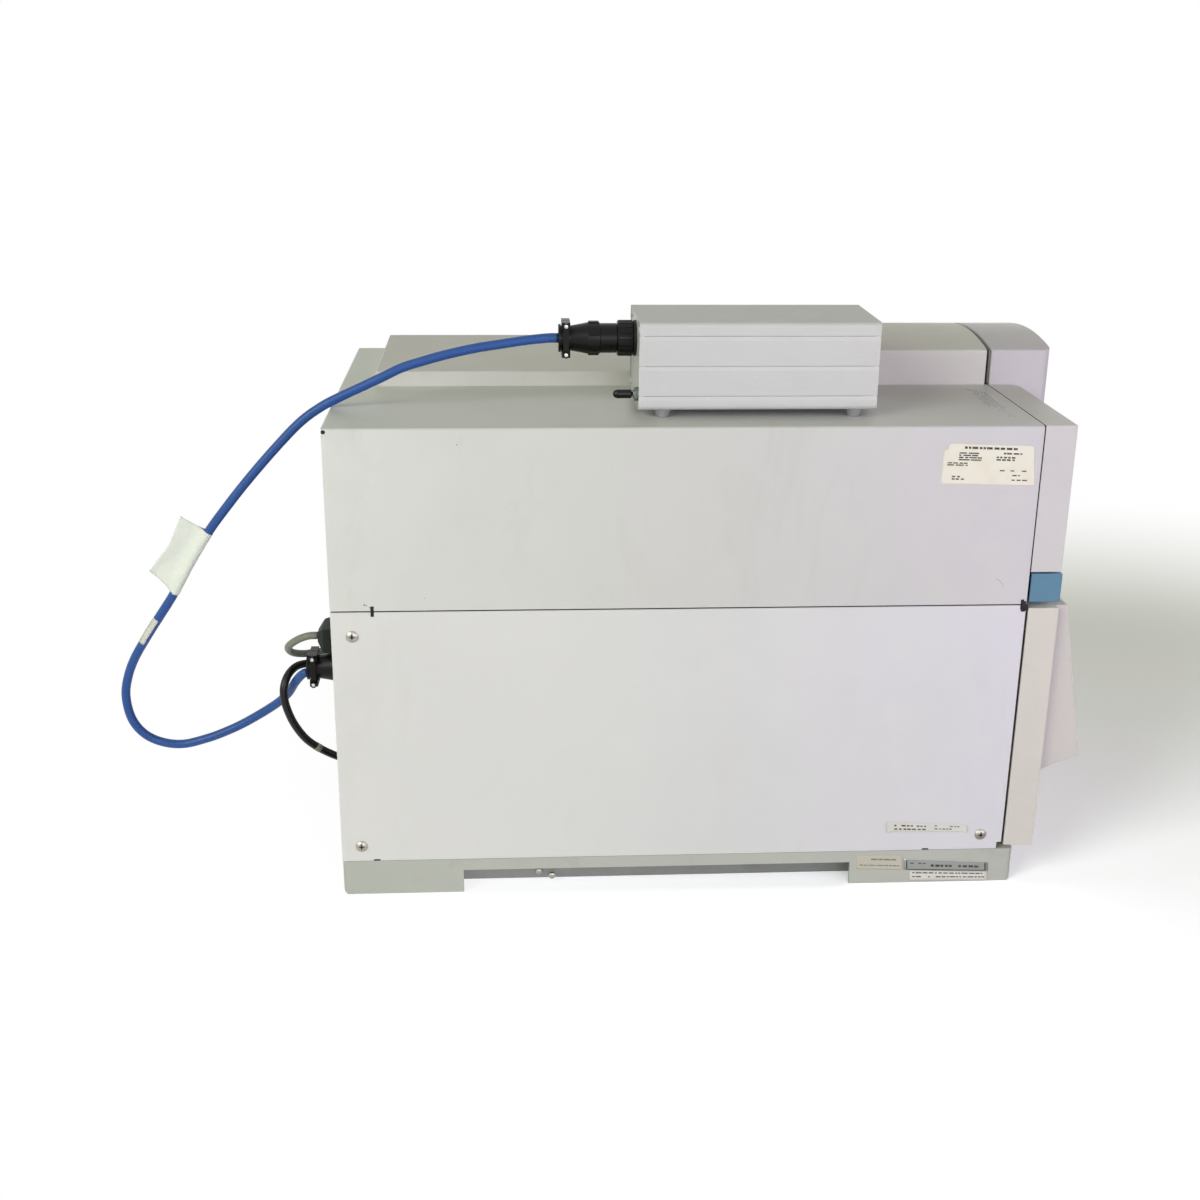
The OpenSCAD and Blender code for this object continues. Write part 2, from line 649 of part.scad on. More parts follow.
// Sockets fixed in the rear panel: each fits its hole and has a flange outside.
module dsub_socket(p) difference() {
    union() {
        socket_block([panel_x[0] - 1, panel_x[0]], p, dsub_w + 13, dsub_h + 3.6);
        socket_block([panel_x[0] - 6, panel_x[1] + 8], p, dsub_w, dsub_h);
    }
    socket_block([panel_x[0] - 7, panel_x[0] - 0.5], p, dsub_w - 1.6, dsub_h - 1.6);
}
module mains_socket(p) difference() {
    union() {
        socket_block([panel_x[0] - 2, panel_x[0]], p, mains_w + 10, mains_h + 10);
        socket_block([panel_x[0], panel_x[1] + mains_depth + 4], p,
            mains_w + 2 * socket_wall, mains_h + 2 * socket_wall);
    }
    socket_block([panel_x[0] - 3, panel_x[1] + mains_depth], p, mains_w, mains_h);
}
module rear_sockets() color([0.14, 0.14, 0.15]) place() {
    dsub_socket(data_yz);
    dsub_socket(remote_yz);
    mains_socket(inlet_yz);
    mains_socket(outlet_yz);
    for (i = [0:1]) {
        rod_x([panel_x[0] - 9, panel_x[0]], fuse_y(i), inlet_yz[1] + fuse_rise, fuse_r + 2);
        rod_x([panel_x[0], panel_x[1] + fuse_l], fuse_y(i), inlet_yz[1] + fuse_rise, fuse_r);
    }
    difference() {
        socket_block([panel_x[0] - 0.8, panel_x[1] + lan_depth + 4], lan_yz,
            lan_w + 2 * socket_wall, lan_h + 2 * socket_wall + 1);
        socket_block([panel_x[0] - 1, panel_x[1] + lan_depth], lan_yz, lan_w, lan_h);
    }
    for (p = [grey_yz, black_up_yz, black_low_yz]) {
        rod_x([panel_x[0] - 1.5, panel_x[0]], p[0], p[1], socket_r + 3);
        rod_x([panel_x[0], panel_x[1] + 10], p[0], p[1], socket_r - 0.2);
    }
}
// Threaded barrel of a circular receptacle; local X = 0 is the panel face, -X points out.
barrel_r = ring_r - 3.4;
neck_r = 8.6;
bush_r = 3;
module receptacle(depth) rotate([0, 90, 0]) difference() {
    union() {
        translate([0, 0, -2]) cylinder(r = ring_r - 0.2, h = 2);
        translate([0, 0, -11]) cylinder(r = barrel_r, h = 10);
        cylinder(r = neck_r, h = depth);
    }
    translate([0, 0, -12]) cylinder(r = 7.8, h = 10);
}
module gauge_receptacle() color([0.20, 0.20, 0.21]) place()
    translate([panel_x[0], gauge_yz[0], gauge_yz[1]]) receptacle(14);

// ---- vacuum system ----
throat_r = manifold_w / 2 - manifold_wall;
axis_y = pump_y;
axis_z = inlet_z;
valve_y = axis_y;
valve_z = axis_z;
plate_t = 10;
plate_y = [manifold_y[1], manifold_y[1] + plate_t];
valve_r = 4.4;
foot_l = 24;
module manifold() color([0.78, 0.79, 0.80]) place() {
    difference() {
        block(manifold_x, manifold_y, manifold_z);
        block([manifold_x[0] + manifold_wall, manifold_x[1] - manifold_wall],
            [manifold_y[0] + manifold_wall, manifold_y[1] + 1],
            [manifold_z[0] + manifold_wall, manifold_z[1] - manifold_wall]);
        rod_z(pump_x, pump_y, [manifold_z[0] - 1, manifold_z[0] + manifold_wall + 1], throat_r);
        rod_x([manifold_x[1] - manifold_wall - 1, manifold_x[1] + 1], valve_y, valve_z, valve_r + hole_play);
    }
    for (x = [manifold_x[0] + foot_l / 2, manifold_x[1] - foot_l * 3 / 2])
        block([x, x + foot_l], [manifold_y[0] + manifold_wall, manifold_y[1] - manifold_wall],
            [shelf_z[1], manifold_z[0]]);
}
module side_plate() color([0.74, 0.75, 0.77]) place() difference() {
    union() {
        block([manifold_x[0] - 6, manifold_x[1] + 4], plate_y, manifold_z);
        rod_y(inlet_x, [plate_y[1], body_w - 0.2], inlet_z, port_r + 5);
        rod_y(inlet_x, [plate_y[1], plate_y[1] + 4], inlet_z, port_r + 14);
    }
    rod_y(inlet_x, [plate_y[0] - 1, body_w + 5], inlet_z, port_r);
    for (x = plate_screw_x)
        rod_y(x, [plate_y[0] - 1, plate_y[1] + 1], plate_screw_z, plate_screw_r + 2 * hole_play);
}
plate_screw_x = [manifold_x[0] + 10, manifold_x[1] - 10];
plate_screw_z = manifold_z[1] - 7;
plate_screw_r = 3;
module plate_screws() color([0.70, 0.70, 0.72]) place() for (x = plate_screw_x) {
    rod_y(x, plate_y, plate_screw_z, plate_screw_r);
    rod_y(x, [plate_y[1], plate_y[1] + 9], plate_screw_z, plate_screw_r + 5);
}
rod_x_span = [manifold_x[0] + 86, manifold_x[1] - 58];
collar_t = 8;
collar_foot = 14;
collar_x = [rod_x_span[0] + 4, rod_x_span[1] - collar_t - 2];
rod_off = field_r + rod_r;
collar_r = rod_off + rod_r + 5;
module quadrupole() color([0.80, 0.78, 0.72]) place() for (a = [45:90:315])
    rod_x(rod_x_span, axis_y + rod_off * cos(a), axis_z + rod_off * sin(a), rod_r);
module rod_collars() color([0.92, 0.90, 0.85]) place() for (x = collar_x) difference() {
    union() {
        rod_x([x, x + collar_t], axis_y, axis_z, collar_r);
        block([x, x + collar_t], [axis_y - collar_foot, axis_y + collar_foot],
            [manifold_z[0] + manifold_wall, axis_z - collar_r * 0.6]);
    }
    rod_x([x - 1, x + collar_t + 1], axis_y, axis_z, rod_off - 1);
    for (a = [45:90:315])
        rod_x([x - 1, x + collar_t + 1], axis_y + rod_off * cos(a), axis_z + rod_off * sin(a), rod_r + 0.05);
}
source_l = 22;
source_r = 18;
module ion_source() color([0.66, 0.64, 0.62]) place() difference() {
    union() {
        rod_x([rod_x_span[1], rod_x_span[1] + source_l], axis_y, axis_z, source_r);
        rod_x([rod_x_span[1], rod_x_span[1] + 5], axis_y, axis_z, source_r + 4);
    }
    rod_x([rod_x_span[1] - 1, rod_x_span[1] + source_l + 1], axis_y, axis_z, 4);
    rod_y(rod_x_span[1] + source_l / 2 + 2, [axis_y - 2 * source_r, axis_y + 2 * source_r], axis_z, 3);
}
detector_l = 46;
detector_r = 12;
module detector() color([0.60, 0.60, 0.62]) place() difference() {
    union() {
        rod_x([rod_x_span[0] - 6, rod_x_span[0]], axis_y, axis_z, source_r + 2);
        rod_x([rod_x_span[0] - detector_l, rod_x_span[0] - 6], axis_y, axis_z, detector_r);
    }
    rod_x([rod_x_span[0] - detector_l + 6, rod_x_span[0] + 1], axis_y, axis_z, 5);
}

// Turbo pump: ribbed housing under the manifold, rotor with two bladed stages.
pump_floor = 12;
fin_pitch = 8;
fin_t = 3;
fin_z = 44;
foreline_wall = 2.5;
port_l = 12;
port_x = pump_x - pump_r - port_l;
flange_t = 12;
flange_out = 8;
spigot_x = 5;
module turbo_pump() color([0.62, 0.63, 0.65]) place() difference() {
    union() {
        rod_z(pump_x, pump_y, pump_z, pump_r);
        rod_z(pump_x, pump_y, [pump_z[1] - flange_t, pump_z[1]], pump_r + flange_out);
        rod_x([port_x, pump_x - rotor_r - 2], foreline_yz[0], foreline_z, spigot_r + 2);
        for (i = [0:3]) translate([0, 0, pump_z[0] + fin_z + fin_pitch * i])
            rod_z(pump_x, pump_y, [0, fin_t], pump_r + pump_gap - 0.5);
    }
    rod_z(pump_x, pump_y, [pump_z[0] + pump_floor, pump_z[1] + 1], rotor_r + 1);
    rod_x([port_x - 1, pump_x - rotor_r], foreline_yz[0], foreline_z, spigot_r - foreline_wall);
}
hub = 14;
stage_pitch = 20;
stage_h = 18;
stage_tilt = [50, 38];
stage_z = pump_z[1] - 4 - stage_h;
blade_w = 14;
blade_t = 1.4;
module turbo_rotor() color([0.75, 0.76, 0.78]) place() translate([pump_x, pump_y, 0]) {
    translate([0, 0, pump_z[0] + pump_floor + touch])
        cylinder(r = hub, h = pump_z[1] - pump_z[0] - pump_floor - 6);
    for (k = [0:1]) intersection() {
        for (a = [0:20:340]) rotate([0, 0, a + 10 * k])
            translate([hub - 2, 0, stage_z + 6 - stage_pitch * k])
                rotate([stage_tilt[k], 0, 0]) cube([rotor_r, blade_t, blade_w]);
        translate([0, 0, stage_z - stage_pitch * k]) cylinder(r = rotor_r, h = stage_h);
    }
}
module foreline_pipe() color([0.68, 0.69, 0.70]) place() translate([0, foreline_yz[0], foreline_yz[1]])
    rotate([0, 90, 0]) difference() {
        union() {
            translate([0, 0, spigot_x]) cylinder(r = spigot_r, h = port_x - spigot_x);
            translate([0, 0, recess_d - 3]) cylinder(r = spigot_r + 4, h = 3);
        }
        translate([0, 0, spigot_x - 1]) cylinder(r = spigot_r - foreline_wall, h = port_x);
    }
module vent_valve() color([0.70, 0.70, 0.68]) place() {
    rod_x([manifold_x[1] - manifold_wall + 1, manifold_x[1]], valve_y, valve_z, valve_r);
    difference() {
        rod_x([manifold_x[1], manifold_x[1] + valve_l], valve_y, valve_z, 8);
        rod_x([manifold_x[1] + valve_seat, manifold_x[1] + valve_l + 1], valve_y, valve_z, stem_r + 0.05);
    }
}
valve_l = 14;
valve_seat = 4;
stem_r = 3;
knob_r = 13;
knob_x = [manifold_x[1] + valve_l + touch, cover_l - 6];
module vent_knob() color([0.15, 0.15, 0.16]) place() difference() {
    union() {
        rod_x([manifold_x[1] + valve_seat + touch, knob_x[0] + 1], valve_y, valve_z, stem_r);
        rod_x(knob_x, valve_y, valve_z, knob_r);
    }
    for (a = [0:45:315]) translate([0, valve_y, valve_z]) rotate([a, 0, 0])
        rod_x([knob_x[0] - 1, knob_x[1] + 1], knob_r + 1.5, 0, 3);
}

// ---- electronics ----
rf_x = [fan_x[1] + 5.5, manifold_x[0] - 8];
rf_y = [hump_y + 24, body_w - 30];
module rf_box() color([0.72, 0.73, 0.74]) place() difference() {
    block(rf_x, rf_y, [shelf_z[1], manifold_z[1] - 4]);
    for (x = [rf_x[0] + 12:8:rf_x[1] - 12])
        block([x, x + 3], [rf_y[0] + 10, rf_y[1] - 10], [manifold_z[1] - 6, manifold_z[1]]);
}
board_x = [70, cover_l - 35];
board_z = [130, 320];
pillar = 16.4;
board_y = [part_y[0] - pillar - board_t, part_y[0] - pillar];
module main_board() color([0.12, 0.38, 0.22]) place() {
    block(board_x, board_y, board_z);
    for (i = [0:2], z = [board_z[0] + 14, board_z[1] - 14])
        rod_y(board_x[0] + 14 + (board_x[1] - board_x[0] - 28) * i / 2, [board_y[1], part_y[0]], z, 3);
    for (x = [board_x[0] + 40:60:board_x[1] - 60], z = [board_z[0] + 30:50:board_z[1] - 50])
        block([x, x + 34], [board_y[0] - 4, board_y[0]], [z, z + 26]);
}
supply_x = [64, 290];
supply_y = [24, part_y[0] - 32];
supply_h = 74;
module power_supply() color([0.70, 0.71, 0.70]) place() difference() {
    block(supply_x, supply_y, [floor_z[1], floor_z[1] + supply_h]);
    for (x = [supply_x[0] + 20:12:supply_x[1] - 20])
        block([x, x + 6], [supply_y[0] - 4, supply_y[0] + 2], [floor_z[1] + 14, floor_z[1] + supply_h - 14]);
}

// ---- gauge controller ----
ctrl_z = deck_z + foot_h;
ctrl_r = 3.5;
shell_x = [ctrl_x + end_t, ctrl_x + ctrl_l - end_t];
rail_l = 3.6;
rail_t = 1.4;
rail_up = 14;
slot_t = 1.9;
groove_z = [ctrl_h - 9.6, ctrl_h - 30.7, ctrl_h - 51.9];
groove_d = 0.8;
ctrl_plug_yz = [ctrl_y + 43.6, ctrl_z + 43.7];
switch_yz = [ctrl_y + 13.6, ctrl_z + 9.2];

// Extruded shell: rounded rectangle, three V grooves on each side and slots for the board.
module shell_section() difference() {
    rounded(ctrl_w, ctrl_h, ctrl_r);
    translate([shell_wall, shell_wall]) square([ctrl_w - 2 * shell_wall, ctrl_h - 2 * shell_wall]);
    for (z = groove_z) {
        translate([0, z]) circle(groove_d, $fn = 4);
        translate([ctrl_w, z]) circle(groove_d, $fn = 4);
    }
}
module shell_rail(z) for (y = [shell_wall / 2, ctrl_w - shell_wall / 2 - rail_l])
    translate([y, z]) square([rail_l, rail_t]);
module controller_shell() color([0.80, 0.81, 0.81]) place() section_x(shell_x)
    translate([ctrl_y, ctrl_z]) {
        shell_section();
        shell_rail(rail_up);
        shell_rail(rail_up + rail_t + slot_t);
    }
end_in = 0.4;
end_screw_in = 6;
end_screw_r = 2.6;
end_screw_h = 1.4;
module end_plate() section_x([0, end_t])
    translate([ctrl_y + end_in, ctrl_z + end_in]) rounded(ctrl_w - 2 * end_in, ctrl_h - 2 * end_in, ctrl_r);
// Screw heads in the corners; corner 0 is left free where the toggle switch sits.
module end_screws(x, first) for (i = [first:3])
    rod_x([x, x + end_screw_h], ctrl_y + (i % 2 == 0 ? end_screw_in : ctrl_w - end_screw_in),
        ctrl_z + (i < 2 ? end_screw_in : ctrl_h - end_screw_in), end_screw_r);
module controller_ends() color([0.78, 0.79, 0.78]) place() {
    difference() {
        translate([ctrl_x, 0, 0]) end_plate();
        rod_x([ctrl_x - 1, ctrl_x + end_t + 1], ctrl_plug_yz[0], ctrl_plug_yz[1], neck_r + 2 * hole_play);
        rod_x([ctrl_x - 1, ctrl_x + end_t + 1], switch_yz[0], switch_yz[1], bush_r + hole_play);
    }
    end_screws(ctrl_x - end_screw_h, 1);
    difference() {
        translate([shell_x[1], 0, 0]) end_plate();
        block([ctrl_x + ctrl_l - 1, ctrl_x + ctrl_l + 1], readout_y, readout_z);
    }
    end_screws(ctrl_x + ctrl_l, 0);
}
readout_y = [ctrl_y + 18, ctrl_y + ctrl_w - 18];
readout_z = [ctrl_z + 28, ctrl_z + 48];
foot_x = [ctrl_x + 17, ctrl_x + ctrl_l - 13];
foot_in = 10;
module controller_feet() color([0.55, 0.57, 0.57]) place()
    for (x = foot_x, y = [ctrl_y + foot_in, ctrl_y + ctrl_w - foot_in])
        translate([x, y, deck_z]) cylinder(r1 = 4.2, r2 = 6.4, h = foot_h);
ctrl_board_z = [ctrl_z + rail_up + rail_t, ctrl_z + rail_up + rail_t + board_t];
module controller_board() color([0.12, 0.38, 0.22]) place() {
    block([shell_x[0] + 2, shell_x[1] - 4],
        [ctrl_y + shell_wall + touch, ctrl_y + ctrl_w - shell_wall - touch], ctrl_board_z);
    for (x = [ctrl_x + 40:30:ctrl_x + ctrl_l - 38])
        block([x, x + 18], [ctrl_y + 24, ctrl_y + 50], [ctrl_board_z[1], ctrl_board_z[1] + 8]);
}
module controller_socket() color([0.15, 0.15, 0.16]) place()
    translate([ctrl_x, ctrl_plug_yz[0], ctrl_plug_yz[1]]) receptacle(end_t + 10);

lever_pivot = 2;
lever_l = 18.3;
module switch_bush() color([0.62, 0.63, 0.62]) place() translate([ctrl_x, switch_yz[0], switch_yz[1]])
    rotate([0, 90, 0]) difference() {
        union() {
            translate([0, 0, -4]) cylinder(r = bush_r, h = end_t + 8);
            translate([0, 0, -3.2]) cylinder(r = 5, h = 2.4, $fn = 6);
            translate([0, 0, -0.8]) cylinder(r = 5.2, h = 0.8);
            translate([-5.5, -6.5, end_t]) cube([11, 13, 10]);
        }
        translate([0, 0, -5]) cylinder(r1 = 2.7, r2 = 1.9, h = 5 + lever_pivot + 2.2);
    }
module switch_lever() color([0.08, 0.08, 0.08]) place()
    translate([ctrl_x - lever_l, switch_yz[0], switch_yz[1]])
    rotate([0, 90, 0]) rotate_extrude()
        polygon([[0, 0], [1.4, 0.3], [2.5, 1.3], [3.2, 3.4], [3.1, 13.2], [1.3, 13.8],
            [1.1, lever_l + lever_pivot], [0, lever_l + lever_pivot + 0.6]]);

// ---- plugs and cords ----
plug_at = [concat(ctrl_x, ctrl_plug_yz), concat(panel_x[0], gauge_yz)];

// Body of a circular plug along -X from the panel face at local X = 0.
module plug_body() rotate([0, -90, 0]) {
    rotate_extrude() polygon([[0, 11.4], [barrel_r - 0.1, 11.4], [barrel_r, 14.2],
        [ring_r - 2.4, 14.2], [ring_r - 2.4, 26],
        [ring_r - 1.7, 26.3], [ring_r - 1.7, 35], [ring_r - 2.4, 38], [ring_r - 4, 47], [ring_r - 4, 47.8],
        [ring_r - 3.6, 47.8], [ring_r - 3.6, 53.6], [ring_r - 4, 53.6], [ring_r - 4, 54.4],
        [ring_r - 3, 54.4], [ring_r - 3, plug_l], [0, plug_l]]);
    for (a = [0:60:300]) rotate(a) translate([ring_r - 2.4, -2.2, 27]) cube([1.6, 4.4, 7.5]);
}
module blue_plugs() color([0.09, 0.09, 0.10]) place() for (p = plug_at) translate(p) plug_body();
module plug_ring() rotate([0, -90, 0]) difference() {
    union() {
        translate([0, 0, 2 + touch]) cylinder(r = ring_r - 0.7, h = 11.6 - touch);
        for (a = [0:20:340]) rotate(a) translate([ring_r - 1.5, -1.2, 3]) cube([1.4, 2.4, 10]);
    }
    translate([0, 0, 1]) cylinder(r = barrel_r + ring_gap, h = 13.6);
}
module plug_rings() color([0.11, 0.11, 0.12]) place() for (p = plug_at) translate(p) plug_ring();
// Saddle clamp behind the barrel: two bars and the two screws that draw them together.
module saddle() difference() {
    union() {
        translate([-2, -11, -8]) cube([4, 22, 16]);
        for (s = [-1, 1]) translate([-3, -10, s * 10.2 - 2.4]) cube([6, 20, 4.8]);
        for (s = [-1, 1]) translate([0, -13, s * 10.2]) rotate([-90, 0, 0]) cylinder(r = 2.3, h = 3.2);
    }
    rotate([0, 90, 0]) cylinder(r = ring_r - 3.5, h = 10, center = true);
    translate([-4, -0.4, -14]) cube([8, 0.8, 28]);
}
module cable_clamps() color([0.10, 0.10, 0.11]) place() for (p = plug_at)
    translate([p[0] - 50.7, p[1], p[2]]) saddle();

function unit(v) = v / norm(v);
// Every cord leaves its first plug along -X and enters its last one along +X.
function tangent(p, i) = i == 0 ? [-1, 0, 0] : i == len(p) - 1 ? [1, 0, 0] : unit(p[i + 1] - p[i - 1]);
// Normals carried along the path with as little twist as the path allows.
function carried(t, i, n) = i >= len(t) ? [] :
    let (m = unit(n - t[i] * (n * t[i]))) concat([m], carried(t, i + 1, m));
module tube(path, d, sides) {
    t = [for (i = [0:len(path) - 1]) tangent(path, i)];
    n = carried(t, 0, [0, 0, 1]);
    pts = [for (i = [0:len(path) - 1], j = [0:sides - 1])
        let (a = 360 * j / sides) path[i] + d / 2 * (cos(a) * n[i] + sin(a) * cross(t[i], n[i]))];
    last = (len(path) - 1) * sides;
    walls = [for (i = [0:len(path) - 2], j = [0:sides - 1])
        let (a = i * sides + j, b = i * sides + (j + 1) % sides)
            for (f = [[a, a + sides, b], [b, a + sides, b + sides]]) f];
    polyhedron(pts, concat(walls, [[for (j = [0:sides - 1]) j]], [[for (j = [sides - 1:-1:0]) last + j]]));
}
blue_route = [[165, 68, 412], [158, 68, 412], [143, 68, 410.5], [126, 68, 408], [104, 68, 404.5],
    [82, 68, 399.5],
    [66, 68, 395], [52, 68, 390.5], [37, 67, 383.5], [22, 67, 376.5], [8, 67, 370], [-7, 67, 362.2],
    [-23, 67, 350.5], [-43, 68, 330], [-63, 69, 307.5], [-79, 70, 288], [-95, 72, 267], [-111, 74, 242],
    [-126, 77, 216], [-138, 79, 198], [-150, 81, 180], [-161, 84, 162], [-168, 86, 145.5],
    [-171.5, 88, 128.5], [-169.5, 91, 108.5], [-161.5, 93, 94.5], [-148.5, 95, 86], [-132, 95, 84],
    [-113, 94, 89], [-98, 93, 95], [-83, 92, 102.5], [-66, 89, 113.5], [-53, 84, 124], [-44, 77.5, 134.5],
    [-38, 69.5, 145.5], [-33, 64, 153], [-29.5, 61.5, 156.7], [-26, 60.7, 158]];
grey_route = [[-17, 62, 187.5], [-24, 62.5, 187], [-31, 65, 184], [-38, 70, 178.5], [-42, 76, 173],
    [-42.5, 83, 167.5], [-40, 90, 162.5], [-33, 97, 159], [-24, 103, 158], [-14, 107.5, 158],
    [-4, 110.5, 158], [4, 111, 158]];
black_route = [[4, 88, 152], [-8, 88, 152.5], [-20, 87, 154], [-30, 83.5, 156], [-37, 78, 156],
    [-42, 71, 153], [-45, 66, 147], [-46, 64, 139], [-44.5, 64, 128], [-40, 66, 113.5],
    [-32.5, 70, 99], [-23.5, 74, 89],
    [-12, 78.5, 80], [-4, 82, 75.7], [4, 84, 74]];
module blue_cord() color([0.17, 0.33, 0.62]) place() tube(blue_route, blue_d, 10);
module grey_cord() color([0.42, 0.44, 0.40]) place() tube(grey_route, grey_d, 8);
module black_cord() color([0.06, 0.06, 0.06]) place() tube(black_route, black_d, 8);

// Hood of the data plug: tapers to the cable, with a shell that enters the socket.
hood_l = 40;
hood_h = 9.9;
hood_w = 16;
hood_x = panel_x[0] - 7;
module hood_side() polygon([[-hood_l, -3.7], [4 - hood_l, -9], [9 - hood_l, -hood_h], [0, -hood_h],
    [0, hood_h], [9 - hood_l, hood_h], [4 - hood_l, 9], [-hood_l, 3.7]]);
module hood_plan() polygon([[-hood_l, -5], [5 - hood_l, -13], [15 - hood_l, -hood_w], [0, -hood_w],
    [0, hood_w], [15 - hood_l, hood_w], [5 - hood_l, 13], [-hood_l, 5]]);
module data_hood() color([0.20, 0.21, 0.20]) place() translate(concat(hood_x, data_yz)) difference() {
    union() {
        intersection() {
            section_y([-hood_w - 1, hood_w + 1]) hood_side();
            translate([0, 0, -hood_h - 1]) linear_extrude(2 * hood_h + 2) hood_plan();
        }
        block([0, 6], [-dsub_w / 2 - 1.5, dsub_w / 2 + 1.5], [-dsub_h / 2 - 1.3, dsub_h / 2 + 1.3]);
    }
    block([-1, 8], [-dsub_w / 2 - touch, dsub_w / 2 + touch], [-dsub_h / 2 - touch, dsub_h / 2 + touch]);
}
module lead_boot(p) translate([panel_x[0] - 1.5, p[0], p[1]]) rotate([0, -90, 0]) rotate_extrude()
    polygon([[0, 0], [7, 0], [7, 11], [5.6, 13], [3.9, panel_x[0] - 5.5], [0, panel_x[0] - 5.5]]);
module lead_plugs() color([0.08, 0.08, 0.09]) place()
    for (p = [grey_yz, black_up_yz, black_low_yz]) lead_boot(p);

base_tray();
base_pan();
chassis();
lower_cover();
lower_cover_far();
upper_cover();
upper_cover_far();
cover_screws();
front_bezel();
accent_bar();
lower_bezel();
panel_housing();
display_window();
panel_board();
key_1();
key_2();
key_3();
key_4();
key_5();
key_6();
power_switch();
power_button();
analyzer_cover();
window_cover();
rear_panel();
fan_guard();
fan_frame();
fan_rotor();
rear_sockets();
gauge_receptacle();
manifold();
side_plate();
plate_screws();
quadrupole();
rod_collars();
ion_source();
detector();
turbo_pump();
turbo_rotor();
foreline_pipe();
vent_valve();
vent_knob();
rf_box();
main_board();
power_supply();
controller_shell();
controller_ends();
controller_feet();
controller_board();
controller_socket();
switch_bush();
switch_lever();
blue_plugs();
plug_rings();
cable_clamps();
blue_cord();
data_hood();
grey_cord();
black_cord();
lead_plugs();
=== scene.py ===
"""Looks of a benchtop mass spectrometer with a gauge controller, its cable and two rear leads.

Lengths named in millimetres are in the covers' frame: X from the covers' rear edge to the front,
Y from their near side to the far side, Z up from the table. at() turns them into the row frame.
"""

import json
import math
import random

import bmesh
import bpy
from mathutils import Matrix, Vector, noise


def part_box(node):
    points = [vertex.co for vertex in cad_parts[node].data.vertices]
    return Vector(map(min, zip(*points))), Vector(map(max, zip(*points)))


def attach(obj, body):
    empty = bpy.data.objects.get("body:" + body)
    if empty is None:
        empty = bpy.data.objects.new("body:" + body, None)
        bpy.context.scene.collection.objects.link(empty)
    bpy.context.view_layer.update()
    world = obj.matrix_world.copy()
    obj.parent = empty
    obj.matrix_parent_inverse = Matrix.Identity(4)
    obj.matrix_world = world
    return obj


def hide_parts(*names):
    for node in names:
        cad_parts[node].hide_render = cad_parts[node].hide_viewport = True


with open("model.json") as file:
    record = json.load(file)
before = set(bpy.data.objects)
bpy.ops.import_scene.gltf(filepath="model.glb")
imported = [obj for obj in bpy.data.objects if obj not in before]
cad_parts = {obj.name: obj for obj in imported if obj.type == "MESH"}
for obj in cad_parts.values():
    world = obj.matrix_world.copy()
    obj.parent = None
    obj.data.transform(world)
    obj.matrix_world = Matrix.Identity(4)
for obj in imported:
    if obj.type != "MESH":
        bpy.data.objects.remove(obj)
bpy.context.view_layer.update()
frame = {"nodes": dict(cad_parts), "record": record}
NODES = frame["nodes"]
MM = 0.001
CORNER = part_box("lower_cover")[0]
TABLE = 0.0


def at(x, y, z):
    """A point of the covers' frame, in millimetres, as a point of the row frame in metres."""
    return Vector((CORNER.x + x * MM, CORNER.y + y * MM, TABLE + z * MM))


def span(node):
    """Lowest and highest corner of a node in the covers' frame, in millimetres."""
    low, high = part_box(node)
    shift = Vector((CORNER.x, CORNER.y, TABLE))
    return (low - shift) / MM, (high - shift) / MM


# ---- camera ----
PHOTO = 1200
FOCAL_PX = 1566.78
SENSOR = 36.0
CAMERA_AT = Vector((-0.1295, -1.2075, 0.6132))
PITCH, YAW, ROLL = (math.radians(a) for a in (19.614, 3.507, 0.569))


def make_camera():
    ahead = Vector((math.sin(YAW) * math.cos(PITCH), math.cos(YAW) * math.cos(PITCH), -math.sin(PITCH)))
    level = Vector((math.cos(YAW), -math.sin(YAW), 0.0))
    upright = level.cross(ahead)
    right = level * math.cos(ROLL) + upright * math.sin(ROLL)
    top = upright * math.cos(ROLL) - level * math.sin(ROLL)
    data = bpy.data.cameras.new("camera")
    data.sensor_fit = "HORIZONTAL"
    data.sensor_width = SENSOR
    data.lens = SENSOR * FOCAL_PX / PHOTO
    data.clip_start, data.clip_end = 0.05, 50.0
    camera = bpy.data.objects.new("camera", data)
    columns = Matrix((right, top, -ahead)).transposed().to_4x4()
    camera.matrix_world = Matrix.Translation(CAMERA_AT) @ columns
    bpy.context.scene.collection.objects.link(camera)
    bpy.context.scene.camera = camera


make_camera()


# ---- mesh helpers ----
def publish(bm, name, finishes, smooth=True):
    """Turns a bmesh into a linked object with its materials."""
    mesh = bpy.data.meshes.new(name)
    for face in bm.faces:
        face.smooth = smooth
    bm.to_mesh(mesh)
    bm.free()
    obj = bpy.data.objects.new(name, mesh)
    bpy.context.scene.collection.objects.link(obj)
    for finish in finishes:
        mesh.materials.append(finish)
    return obj


def weigh(obj):
    """Normals that follow the large faces, so that a small rounding catches the light as one line."""
    modifier = obj.modifiers.new("weighted_normals", "WEIGHTED_NORMAL")
    modifier.weight = 90
    modifier.keep_sharp = True
    return obj


def spline(points, step):
    """Points about step apart on a smooth curve through the given ones."""
    pts = [Vector(p) for p in points]
    ends = [2 * pts[0] - pts[1]] + pts + [2 * pts[-1] - pts[-2]]
    out = []
    for i in range(1, len(ends) - 2):
        a, b, c, d = ends[i - 1:i + 3]
        parts = max(1, round((c - b).length / step))
        for k in range(parts):
            t = k / parts
            out.append(0.5 * (2 * b + (c - a) * t + (2 * a - 5 * b + 4 * c - d) * t * t
                              + (3 * b - a - 3 * c + d) * t ** 3))
    out.append(pts[-1])
    return out


def length_of(path):
    return sum((b - a).length for a, b in zip(path, path[1:]))


